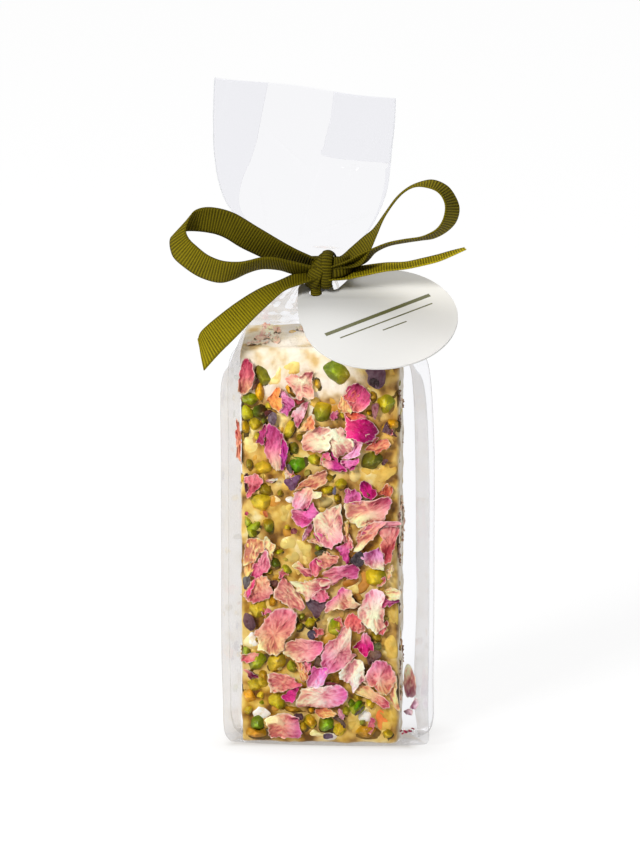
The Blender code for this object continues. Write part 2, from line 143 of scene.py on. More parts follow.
RIGHT_TAIL = (
    (1.5, -9.2, 147.6, 0.5, -0.5), (7.3, -9.4, 148.3, 0.7, -1.0), (11.7, -10.2, 149.5, 1.3, -1.1),
    (19.5, -11.5, 151.2, 0.7, -0.6), (26.0, -13.0, 152.1, 1.0, -0.1), (31.0, -14.0, 153.4, 1.0, -0.1),
    (36.0, -15.0, 154.9, 1.0, 0.0), (40.4, -16.0, 156.7, 1.0, 0.6), (44.5, -17.0, 158.4, 1.0, 1.5),
)
# Turns of the knot: middle of the strip on each station, then its width there
KNOT_WRAP = (
    (2.6, -5.4, 153.4, 3.4), (2.4, -8.0, 154.7, 3.4), (2.1, -11.0, 154.9, 3.4), (1.9, -13.0, 153.2, 3.4),
    (1.8, -13.6, 150.4, 3.3), (1.8, -13.4, 147.4, 3.2), (1.8, -12.2, 145.2, 3.2), (1.8, -8.6, 144.6, 3.2),
)
KNOT_LEFT = (
    (-4.0, -8.2, 144.9, 3.6), (-3.0, -11.4, 145.6, 4.2), (-2.2, -12.7, 147.6, 4.8),
    (-1.2, -13.1, 150.2, 4.8), (0.2, -12.6, 152.6, 4.2), (1.4, -11.0, 154.2, 3.6), (2.2, -7.6, 154.4, 3.4),
)
KNOT_RIGHT = (
    (1.8, -11.4, 150.9, 6.4), (4.2, -12.3, 150.9, 6.4), (6.6, -11.8, 151.2, 5.8),
    (8.4, -9.6, 151.6, 5.0), (8.8, -6.4, 151.6, 4.6),
)
# Painted light and shade on the ribbon: darker near the knot, lighter out on the loops and tails. The levels
# run along each stretch, from the knot to its end.
RIBBON_RUNS = (
    (LEFT_LOOP, (0.3, 0.55, 0.65, 1.0, 0.8, 0.65, 0.35)),
    (RIGHT_LOOP, (0.35, 0.75, 1.0, 1.0, 1.1, 0.9, 0.5)),
    (LEFT_TAIL, (0.4, 1.0, 1.3, 1.45)),
    (RIGHT_TAIL, (0.8, 1.9, 2.5, 2.6)),
)
KNOT_SHADES = (0.3, 0.5, 0.3)
STRAND_SHADES = (0.6, 0.6)
CORE_SHADE = 0.45
# How far the middle of a strip's width stands out, and into how many parts its width is cut
RIBBON_BOW = 0.25
KNOT_BOW = 0.7
STRIP_STEPS = 8
# Points between two stations of a loop or tail, and of the knot or strand
RIBBON_STEPS = 8
KNOT_STEPS = 6
KNOT_MIDDLE = (1.2, -8.4, 149.8)
CORE_MIDDLE = (0.4, -8.7, 149.5)
CORE_SIZE = (7.0, 6.4, 7.6)
CORE_ROUNDING = 1.9
STRAND_WIDTH = 3.0
STRAND_X = -1.7
STRAND = (
    (-10.9, 146.6), (-10.6, 144.6), (-9.7, 142.6), (-8.6, 140.9), (-7.0, 140.5),
    (-5.8, 141.9), (-5.2, 143.6), (-5.1, 145.6), (-5.0, 148.4),
)
COLLAR_RADII = (9.2, 5.0)
COLLAR_HEIGHT = 149.0
COLLAR_HALF_WIDTH = 2.2
COLLAR_STEPS = 48

# Swing tag: a round card with a holed tab, leaning back on the bag's shoulder
TAG_RADIUS = 23.75
TAG_THICKNESS = 0.6
TAG_EDGE = 0.06
TAG_WELD = 0.002
TAG_CENTRE = (18.7, -20.5, 136.75)
TAG_LEAN = math.radians(28.3)
TAG_HOLE = (-20.4, 12.3)
TAG_HOLE_RADIUS = 2.1
TAG_HOLE_STEPS = 40
TAG_ARC_FROM = math.radians(-169.0)
TAG_ARC_TO = math.radians(106.0)
TAG_ARC_STEPS = 96
TAG_TAB = (
    (-9.0, 20.8), (-10.6, 19.0), (-12.2, 16.4), (-13.8, 14.0), (-14.8, 13.5), (-15.2, 14.4),
    (-15.6, 15.6), (-16.6, 16.2), (-24.6, 16.2), (-25.6, 15.4), (-25.9, 14.2), (-25.8, 8.0),
    (-25.4, 3.2), (-24.6, -1.4),
)
# Plain ruled lines on the card: start, end and width, then how they stand on it
TAG_RULES = (
    ((-16.2, -8.2), (14.6, 11.6), 1.5), ((-11.6, -9.6), (15.6, 7.6), 0.55), ((1.2, -5.6), (8.2, -1.2), 0.5),
)
RULE_LIFT = 0.015
RULE_THICKNESS = 0.03

# Toppings on the front of the slice. A petal is its height above the nougat, the curl of
# its rim, the direction of its colour run in degrees, its colours along that run, and its
# outline as x, z, x, z. A nut or a skin is its rise, direction, colours and outline, and a
# lump of nougat is its rise, colours and outline.
PETALS = (
    (0.5, 0.3, -90, "b4325f cd6e78 d7b47d", (-24, 121.6, -22.5, 122, -21.1, 120.5, -20.4, 118, -20.8,
     115, -21.9, 112.4, -23.4, 111.1, -24.9, 111.3, -25.4, 113.2, -25.1, 116.2, -24.8, 119)),
    (0.6, 0.5, -60, "dc7d46 f0b464", (-16.9, 109.4, -14.8, 112, -13.3, 113.8, -12.2, 113.4, -12.6, 111.2,
     -11.8, 109.7, -11.7, 107.4, -12.9, 106.1, -15, 107.3, -16, 108.4)),
    (0.8, 0.2, -40, "e6a0c3 be4b96", (-12.2, 112.1, -10.8, 111.9, -9.5, 110.6, -7.8, 108.5, -8.9, 106.6,
     -10.3, 104.7, -12.6, 106.1, -11.4, 107.4, -12, 109.7)),
    (0.9, 0.5, -15, "eb877d f0cdb4 e6a08c", (-10.9, 116.4, -8.4, 117.9, -6.3, 117.3, -4.4, 118.4, -2.3,
     118.5, -2.5, 115.7, -2.1, 112.7, -1.9, 110.3, -3.8, 110.1, -5.1, 110.7, -6.3, 109.4, -7.2, 109.8,
     -7.8, 111.7, -9.5, 113.8, -10.5, 115.5)),
    (0.4, 0.1, -60, "f0c3c8 e187a5", (-8.6, 105.7, -6.3, 107.9, -4.7, 108.8, -3.8, 108.6, -4.2, 106.8,
     -5.1, 104.5, -6.3, 102.1, -7.2, 100.4, -7.8, 101.6, -8.4, 103.8, -9.3, 104.8)),
    (0.7, 0.2, -100, "e68c5f f5be82", (-3.3, 104.7, -1.7, 102.2, -2.1, 100, -4.7, 100, -7.2, 99.7, -5.3,
     101.9)),
    (1, -0.5, -90, "c34696 d76e9b f0cda5", (-16.1, 102.3, -14.3, 101.3, -12.2, 99.4, -11.2, 97, -12, 94,
     -12.3, 90.8, -12.2, 87.7, -13.7, 87.6, -15, 88.6, -16.2, 90.7, -17.4, 93.7, -17.4, 95, -17, 96.7,
     -17.1, 99.3, -16.6, 101.2)),
    (0.8, 0.2, -90, "a01464 b43c96 c85ab4", (-11.8, 98.1, -10.8, 96.8, -10, 94.9, -10.2, 92.3, -10.6,
     90.2, -11.2, 87.7, -12.3, 87.6, -12.2, 89.9, -12.5, 92.9, -12.2, 95.1)),
    (0.7, 0.2, -90, "b4146e d26eaa", (-18.9, 99.5, -18.1, 100.6, -16.9, 101.7, -16.9, 99.3, -17.3, 97.4,
     -17.5, 96.1, -18.1, 95.4, -19.6, 96.3, -19, 98)),
    (0, 0.1, -90, "e18c73 ebaf8c", (-26.1, 102.8, -25.2, 102.3, -25.1, 100.5, -24.6, 97.9, -24.7, 94.5,
     -24.8, 91, -24.4, 89.1, -25.2, 90.4, -26, 91, -25.9, 93.8, -26.3, 96.6, -26.6, 98.9, -25.8, 100.5)),
    (0.9, 0.9, -120, "a02d5f c8507d e69682", (7.9, 113.7, 9.2, 114.8, 10.8, 115, 12.9, 114.2, 14.8,
     112.5, 15.3, 110.3, 14.6, 108.4, 12.9, 106.4, 10.8, 106.2, 9.4, 107, 8.3, 109.4, 6.6, 110.6, 7.5,
     111.7)),
    (1.6, -0.4, -110, "d7696e e68278", (8.3, 112.7, 10, 113.3, 11.6, 112.4, 11.9, 110.5, 10.2, 109.2,
     8.5, 109.7, 7.3, 110.8)),
    (0.6, 0.2, -90, "ebb478 f5d796", (6.4, 111.1, 8.3, 109.8, 9.2, 107.5, 9.6, 106.2, 7.7, 105.1, 6.4,
     106.1, 5.6, 108.1, 6, 109.8)),
    (1.2, 0.8, -20, "dc5078 be0f6e 821464", (7.5, 105.3, 9.2, 103.6, 12.1, 104.1, 14.2, 103.9, 15.7,
     103.1, 17.6, 100.1, 17.2, 98.8, 16.3, 97.7, 15, 96.8, 13.4, 96.3, 10.8, 97.5, 8.1, 98.1, 7.7, 100.1,
     7.8, 102.9)),
    (1, 0.3, -10, "f0b46e e66e50 e68caa", (7.7, 105.9, 9.2, 105.5, 10.8, 106.1, 12.1, 106, 14, 104.3,
     12.1, 104.1, 9.2, 103.2, 7.9, 104)),
    (0.8, 0.1, -90, "e191aa c3648c", (2.8, 105, 4.1, 105.9, 5.2, 106.5, 5.5, 105.1, 4.7, 103.8, 3.3,
     103.4)),
    (0.7, 0.1, -90, "eb8c96 d7697d", (-23.2, 85.5, -20.4, 86.2, -19, 85.5, -17.7, 84, -18.8, 82.1, -20,
     80.8, -22.5, 78.4, -23.1, 79.2, -22.3, 81, -22.4, 83.3, -23.4, 83.7)),
    (0.2, 0.1, 0, "ebd7cd f0e1d2", (-17.1, 83.6, -15.6, 84.5, -13.5, 84.8, -13.7, 83.9, -15.6, 83.3)),
    (0.9, 0.3, 10, "e6a08c f0cdb4 f5dcbe", (-5.8, 96.7, -5.1, 99, -3.2, 100.4, -1.1, 100.8, 0.8, 101.1,
     3.1, 100.7, 3.8, 98.7, 2.9, 96.8, 2.9, 94.9, 0.6, 93.3, -1.5, 93.1, -3.2, 93.5, -5.1, 94.1)),
    (0.7, 0.4, 30, "dca569 ebc39b", (-7.8, 81.2, -6.1, 83.6, -3.2, 86, -0.4, 87.3, 1.7, 87.6, 2.1, 85.8,
     1.7, 83.7, -0, 82.8, -2.1, 81.5, -4.2, 82.3, -6.3, 81.9)),
    (1, 0.2, 60, "e68cb4 f0b4b9 f5dca5", (-8.6, 78.4, -7.8, 80.5, -5.5, 81.7, -3.2, 82.1, -2.3, 81.1,
     0.2, 80.9, -0.2, 79.2, -2.5, 78.9, -3.2, 76.7, -4.4, 75, -6.3, 75.4, -7.8, 75.2, -8.9, 76.7)),
    (0.9, 0.3, -20, "ebb9be e164aa dc78b4", (-9.1, 74.9, -7.4, 75.4, -4.4, 74.8, -2.5, 77.4, -1.5, 75.7,
     -0.4, 74, -2.1, 71.8, -4.2, 70.3, -6.1, 69.6, -7.8, 70.7, -8.9, 72.8)),
    (1.2, 0.5, -60, "f5e1c3 f5dcbe", (0.5, 98.5, 1.6, 99.4, 4.3, 100.9, 6.4, 101.1, 7.5, 100.1, 7.3,
     98.4, 9.8, 97.5, 10.2, 95.4, 9.6, 93.7, 7.5, 92.8, 5.8, 91.7, 4.5, 92.1, 3.5, 93.6, 2.4, 95.1, 1.6,
     96.8)),
    (1, 0.4, -120, "f5b4c8 e696c3 e6aac8", (10, 97.6, 11.9, 96.9, 12.9, 96.7, 12.5, 95, 11.7, 92.9, 10,
     91.8, 7.9, 91.4, 6.4, 91.5, 8.1, 92.6, 10, 93.5, 10.5, 95.4)),
    (1.1, -0.4, 0, "ebc8a0 c83c96 d24ba0", (0.5, 90.5, 2, 91, 4.7, 90.6, 6.4, 89.6, 8.3, 87.7, 6.6, 87.2,
     4.3, 87.4, 2, 88.4, 0.7, 89.3)),
    (0.8, 0.3, -30, "e696c3 d255a0", (6.4, 90.6, 8.3, 91.1, 10.4, 91.2, 11.7, 91.8, 11.9, 90.5, 10, 89,
     8.5, 88.5, 7.3, 89.6)),
    (0.5, 0.1, -60, "c85096 b43c82", (3.1, 94, 4.3, 92.5, 5.4, 91, 4.7, 90.5, 3.1, 92.1)),
    (0.6, 0.4, 20, "ebaa78 f0a582", (13.4, 94.2, 14.8, 95.5, 16.3, 96.4, 17.6, 97, 20.5, 97.5, 21.4,
     96.4, 20.7, 94.5, 19.3, 94.3, 17.4, 92.7, 15.9, 93.6)),
    (0.8, 0.4, -60, "8c1464 be1978 aa1464", (12.3, 83.8, 13.4, 84.5, 14.8, 83.9, 16.3, 82.2, 17.4, 81.1,
     16.3, 79.2, 15.5, 78.3, 13.8, 79.6, 12.5, 80.8)),
    (0.6, 0.3, -90, "f5af73 e18c5f", (18.4, 81.1, 20.1, 83.5, 21.6, 83.1, 22.2, 81.6, 21.6, 79.3, 19.7,
     79.7, 17.6, 80.1, 16.9, 80.5)),
    (1.1, 0.5, 35, "f5e6aa ebb4a0 c85587", (7.1, 77.1, 10, 77.8, 12.5, 78.3, 15.9, 78.5, 18.4, 79.4,
     20.5, 79.7, 21.8, 78.8, 21.8, 77.1, 20.7, 74.5, 19.7, 72.2, 17.6, 71, 15, 71.1, 13.2, 69.9, 10.8,
     70.5, 8.7, 71.8, 7.8, 73.9)),
    (0.9, 0.2, -90, "cd64aa e182b4", (7.5, 80.3, 7.9, 81.9, 10, 81.7, 12.1, 80.8, 12.7, 78.3, 12.1, 77,
     9.6, 77.3, 7.4, 77.8)),
    (1.2, 0.6, -60, "f5d7b4 f0beaf e68ca5", (-2.2, 71.4, -1.2, 73.6, 1.2, 74.9, 4.7, 76.5, 6.4, 76.7,
     6.4, 74.1, 6.9, 71.1, 6.9, 67.9, 6.6, 65.5, 4.3, 64.2, 3.3, 63.1, 1.4, 63.7, -0.1, 65.2, -1.4,
     67.3)),
    (0.6, 0.2, -90, "f0c87d e6a578", (7.3, 71.1, 8.5, 72, 8.6, 69.6, 8.8, 67.3, 9.8, 65.4, 8.5, 65.3,
     7.7, 67.5)),
    (0.9, 0.5, -150, "e6919b f0b496 faebaf", (10, 61.9, 11, 64.2, 11, 66.8, 12.1, 69, 14.2, 70.7, 15.3,
     71.6, 18.4, 71.9, 20.3, 71.5, 17.8, 69.1, 17.2, 67.3, 15.5, 66, 14.2, 64.7, 12.5, 63)),
    (0.8, 0.6, -110, "f0b4af dc8278 c85a64", (18.4, 65.2, 19.7, 66.9, 17.6, 68.2, 20.5, 70.4, 23.3, 70.4,
     24.3, 68.9, 23.5, 66.6, 23.3, 64, 22.2, 62.7, 22, 60.1, 20.9, 58.6, 19.7, 58.8, 19.7, 61.4, 18.4,
     63.1)),
    (1.1, 0.3, 10, "e68ca5 ebaab4", (11.9, 66.6, 13.4, 69.4, 15.9, 71.4, 18.4, 72.1, 24.5, 71.8, 24.3,
     70.8, 21.6, 70.4, 19.5, 70.2, 17.6, 68.8, 15.3, 68, 12.9, 67.5)),
    (1.2, -0.5, -110, "f0aa82 e678b4 d23ca0", (8.7, 67.4, 10, 65.5, 10.2, 63.6, 8.8, 62.7, 8.9, 60.3,
     8.8, 58, 7.9, 58.2, 6.8, 59.7, 5.6, 61.4, 4.3, 62.6, 4.7, 63.5, 6.8, 64.4, 8.7, 65.1, 9.2, 66.4)),
    (1.1, 0.3, -90, "c873be d79bbe f5dcaa", (12.4, 61, 13.8, 62.1, 15.9, 62.6, 18, 63.7, 18.4, 62.6,
     19.7, 60.7, 19.5, 58.4, 19.6, 56.4, 17.4, 56.8, 14.6, 57.9, 13.4, 59.1)),
    (0.8, 0.4, -30, "f0c39b e6a08c", (-1.4, 59.8, 1.6, 62.2, 2.4, 62, 3.3, 61.1, 5.8, 60.5, 4.7, 58.4,
     1.6, 56.6, -0.3, 57.2)),
    (1.1, -0.6, 20, "f5c8aa eba0b4 dc64b4", (-0.5, 52.7, 0.5, 54.9, 2.6, 56.6, 5.8, 57.7, 7.9, 58, 10,
     57.8, 11.7, 56.7, 12, 55.5, 10.8, 53.7, 8.9, 53.7, 7.1, 54.1, 5.4, 52.1, 3.3, 51.2, 1.6, 51.2, 0.1,
     51.6)),
    (1, 0.4, -70, "d24b8c eb8c8c", (-3.2, 58.5, -1.7, 59.8, -0.2, 59.6, 0.6, 57.9, -0, 55.9, -1.5, 54.2,
     -3, 55.4)),
    (1, 0.4, -50, "cd3c9b f0be9b f0c8a5", (2, 46.3, 2.8, 46.9, 3.9, 47.8, 5.2, 49.1, 5.8, 50.4, 7.5,
     50.9, 9.2, 50, 10, 47.9, 11, 46.4, 12.5, 45.6, 10.8, 44.3, 7.9, 43.8, 4.5, 44, 2.8, 43.3, 0.9, 42.8,
     1.6, 44.8)),
    (1.2, 0.6, -85, "eba0be f5cdb9 faf0c3", (11.3, 42.8, 12.1, 44.5, 13.4, 46.9, 13.8, 48.4, 15, 49.7,
     16.3, 50.8, 18, 50.4, 19.7, 49.6, 19.9, 47.6, 19, 45, 19.9, 43.1, 19.3, 40.3, 20.1, 38.6, 18.4,
     37.1, 17.4, 36.4, 15.9, 37.3, 14.2, 38.7, 12.5, 40.2)),
    (0.9, 0.3, 0, "c8466e c878be", (18.4, 46.3, 19.7, 48.3, 20.5, 47.2, 22.2, 47, 24.1, 46.8, 23.9, 46,
     21.6, 45.3, 20.1, 45.1, 19, 44.4)),
    (0.6, 0.2, 0, "f5d78c f5e1c3", (19.9, 49.6, 21.6, 50.7, 24.5, 50.3, 24.3, 47.5, 21.8, 47, 20.3,
     47.6)),
    (1, 0.6, -90, "d2555f eb8c82", (7.5, 40.6, 8.9, 42.5, 10.8, 42.1, 12.7, 40.2, 12.9, 38.5, 12.1, 37,
     10.4, 36.8, 7.9, 38.2, 7.3, 39.5)),
    (0.5, 0.3, -90, "f5cd82 f5e1a5 f0d78c", (-24, 58.1, -23.9, 60.9, -23.4, 63.1, -22.8, 65.2, -21.1,
     65.7, -19, 65.9, -17.5, 64.9, -17.3, 63.2, -17.5, 61.9, -19, 60.8, -20.4, 58.6, -22.1, 58, -23.6,
     57.3)),
    (0.9, 0.3, -90, "faebb4 f0c88c", (-17.5, 66.2, -16.4, 66.6, -15.6, 64.7, -14.1, 63.9, -14.5, 61.9,
     -15, 60, -15.4, 58.1, -16, 59.1, -16.6, 61.7, -17.3, 63.2)),
    (0.4, 0.1, -90, "f0b478 ebc87d", (-23, 57.5, -20.6, 58.2, -20.4, 56.5, -21.5, 54.7, -23.2, 54.1,
     -23.8, 55.6)),
    (1, 0.3, -110, "f5becd eb9baa e15a96", (-21.7, 54.3, -20.9, 56.9, -19.6, 58.6, -18.1, 60.8, -17.3,
     62.1, -16.4, 61.3, -15.7, 58.3, -15.6, 56.6, -17.1, 55, -18.3, 53.9, -19, 53.1, -20.6, 53.3, -21.7,
     53.7)),
    (0.9, 0.3, -60, "ebaf87 ebaa91 e68c96", (-23.7, 48.1, -22.5, 50, -21.5, 52.2, -20, 53.3, -18.1, 54.2,
     -16.4, 53.5, -15.6, 52, -15, 50.3, -14.5, 49.1, -16, 47.1, -18.1, 46, -20.4, 45.5, -21.9, 45.7, -23,
     46.6)),
    (1.2, 0.2, -110, "e6557d d25a9b", (-23.8, 48.1, -22.3, 50.2, -21.3, 52.4, -20.2, 53.3, -20.4, 51.3,
     -21.3, 49.6, -22.1, 47.4, -23.1, 46.8)),
    (1.1, 0.4, -50, "eb9696 f5d7af e6968c", (-14.5, 47.3, -14.3, 49.7, -13.1, 51.4, -12.2, 53.6, -11.2,
     53.4, -9.9, 52.1, -8.4, 50.4, -6.8, 48.3, -5.5, 46.8, -4.7, 44.7, -5.5, 43, -7.4, 43.6, -9.3, 44.2,
     -11, 45.5, -12.6, 46.5)),
    (0.9, 0.4, -30, "faebb4 f5cdaa e682aa", (-9.9, 52.6, -8.2, 52.6, -6.3, 52.4, -3.8, 52.6, -2.1, 53.3,
     0.4, 53.6, 3.1, 53.4, 3.1, 51.2, 1.7, 50.4, -0, 50.1, -2.5, 47.3, -4.4, 46.4, -5.1, 48.1, -7, 49.2,
     -8.4, 51.3)),
    (1.1, 0.3, -60, "f0aaaf dc5f91", (-2.6, 47.1, -2, 49, -0.1, 50.3, 1.4, 49.9, 2.2, 48.2, 2.4, 47.2,
     1.4, 46.3, 0.1, 45.8, -1.4, 46.5)),
    (0.8, 0.3, -20, "ffcd8c f0b4aa e6829b", (-8.9, 57.5, -7.2, 59, -5.9, 58.2, -5.1, 56.9, -3.4, 56.1,
     -1.9, 55.3, -2.3, 54, -3.6, 53.5, -4.4, 53.1, -5.5, 55, -6.8, 56.3)),
    (0.7, 0.1, -90, "f0bed2 ebaabe", (-5.7, 65.7, -5.1, 67.9, -3.8, 70, -2.5, 70.5, -2.8, 68.5, -4, 66.6,
     -5.1, 65.3)),
    (1, 0.3, -60, "e178a5 d2468c", (-2.3, 68.1, -0.9, 68.1, 0.6, 67.5, 1, 65.4, -0.2, 64.8, -1.5, 66.4)),
    (0.9, 0.2, -30, "f5d7a0 fae6be", (-4.2, 65.5, -2.1, 66.1, -0.8, 65.4, 0.7, 64.1, 0.4, 63.7, -1.5,
     64.5)),
    (1, 0.5, -95, "e1829b e6a08c f0d796", (-20.7, 35.8, -18.3, 38.4, -17, 40.7, -15.6, 42.1, -13.7, 43.7,
     -9.9, 44, -7.4, 42.9, -7.3, 40.3, -8, 37.4, -9.7, 34.9, -11.1, 33.1, -11.3, 30.9, -13, 29.2, -14.9,
     28.9, -16.3, 29.4, -17.2, 30.5, -19.4, 30.8, -19.1, 33.3, -19.9, 34.7)),
    (1, 0.5, 5, "fae1a5 ebaaa5 d75a96", (-11.6, 30, -10.8, 32.6, -8.3, 33.9, -4.4, 34.4, -1.7, 33.9, 0.5,
     33.3, 0.8, 31.1, -0.8, 29.1, -2.5, 27.4, -5, 27, -7.5, 27.3, -9.7, 28.4)),
    (0.8, 0.2, -60, "f5d28c f0af78", (-8, 27, -6.9, 27.6, -5.3, 25.9, -4.2, 23.4, -3.9, 21.7, -5.3, 20.3,
     -6.1, 21.7, -6.9, 24.5)),
    (0.5, 0.2, 0, "dc8c6e 821e64 d7969b", (-23.8, 24.5, -21.6, 24, -20.5, 22.9, -18.8, 21.8, -18, 20.4,
     -20.7, 21.2, -22.1, 21.1, -22.8, 23.1)),
    (1.1, 0.4, -20, "f5c3af f0b496 e6558c", (-16.2, 23.2, -13, 23.2, -10.2, 23, -8.6, 21.6, -6.9, 20.2,
     -5.8, 19.7, -8, 18.8, -10.2, 18.2, -11.9, 17.3, -14.4, 17.3, -15.8, 17.3, -16, 19.8, -16.3, 21.5)),
    (0.7, 0.2, -20, "b4196e d23c8c", (-12.2, 15.9, -10.2, 17.4, -6.9, 19.4, -6.1, 20, -7.3, 17.1, -8.3,
     14.6, -10.2, 14.3)),
    (0.9, 0.4, -5, "f0cd91 f0af96 d764af", (-16.3, 5.7, -16.9, 8.8, -14.7, 10, -11.1, 10.9, -9.1, 10.1,
     -6.9, 9, -6.8, 7, -5.8, 2.8, -8.3, 2.5, -11.9, 2.7, -14.9, 2.6, -16, 3.5)),
    (1.2, 0.4, 0, "f5cda5 f5c3be e164b9", (-7.6, 12.6, -6.8, 16.6, -5.5, 18.6, -2.5, 19.2, 0.3, 19.5, 3,
     19.8, 5.8, 20, 8, 18.2, 8.6, 16.2, 6.9, 14, 4.1, 12.5, 0.3, 12.4, -3.6, 12.7)),
    (1.1, 0.4, 60, "f5c8d7 f0a0d2 e63cb4", (-4.4, 19.4, -3.3, 23.1, -3.1, 24.8, -0.8, 25.4, 2.3, 25.5,
     2.5, 24, 1.4, 21.2, -0, 19.2, -2.5, 19.2)),
    (1, 0.5, 50, "e678b4 ebafaf f5d2b9", (0.1, 25.7, 0.4, 28.8, 1, 31.6, 2.9, 33.6, 5.1, 35.4, 7.6, 38.5,
     9.5, 38, 9.5, 34.3, 9.5, 30.6, 11.2, 29.2, 9.8, 27.5, 7.9, 25.8, 6.2, 24.7, 2.9, 23.5, 1.5, 23.5)),
    (1.3, 0.4, -100, "f5e6c3 f5e1cd f0b9c8", (5.7, 23.2, 6.5, 25.2, 9, 27.2, 12.3, 28.1, 13.7, 25.9,
     13.7, 23.6, 13.4, 21.4, 11.7, 19.7, 10.1, 17.7, 9.3, 19.9, 7.6, 20.7, 5.9, 22.1)),
    (1.2, 0.4, -90, "f0a0b4 cd2882 d21e78", (9.9, 31.8, 11.7, 33.5, 12.9, 36, 14, 36.9, 15.1, 35.2, 16.4,
     33.3, 16.2, 31.3, 15.1, 30.7, 14, 29, 12.3, 30.4, 11.2, 31.2)),
    (1.2, 0.5, -75, "dc78aa f0a5a0 f5cd87", (14, 23.1, 15.3, 25.4, 16.4, 27.4, 18.4, 27.9, 20.6, 27.1,
     22.3, 25.2, 23.4, 22.1, 22.3, 19.3, 20.6, 16.7, 18.4, 17.5, 16.7, 19.2, 15.1, 19.7, 14.5, 21.4)),
    (0.9, 0.4, -30, "f5d28c ebaa87 eb829b", (10.1, 17.7, 12, 19.4, 14.5, 19.7, 16.7, 18.3, 18.9, 16.7,
     21.4, 14.5, 21.1, 12.8, 19.5, 12.7, 16.7, 14.7, 14.5, 16, 12.3, 16.9)),
    (0.3, 0.2, -90, "f5c896 f0dc9b", (21.4, 22.3, 23.4, 22.7, 23.6, 19.3, 23.9, 15.1, 24.5, 12, 22.3,
     13.3, 21.1, 16.4, 20.9, 19.8)),
    (0.8, 0.4, 0, "f5c878 ebaa78", (-1.5, 11.6, 1.5, 12.3, 3.7, 11.7, 4.8, 10.5, 2.3, 9.4, -0.7, 10)),
    (0.4, 0.1, -60, "d78ca0 c88ca5", (5.4, 11.4, 6.4, 11.7, 7.3, 9.7, 6.8, 8.6, 5.7, 10)),
)
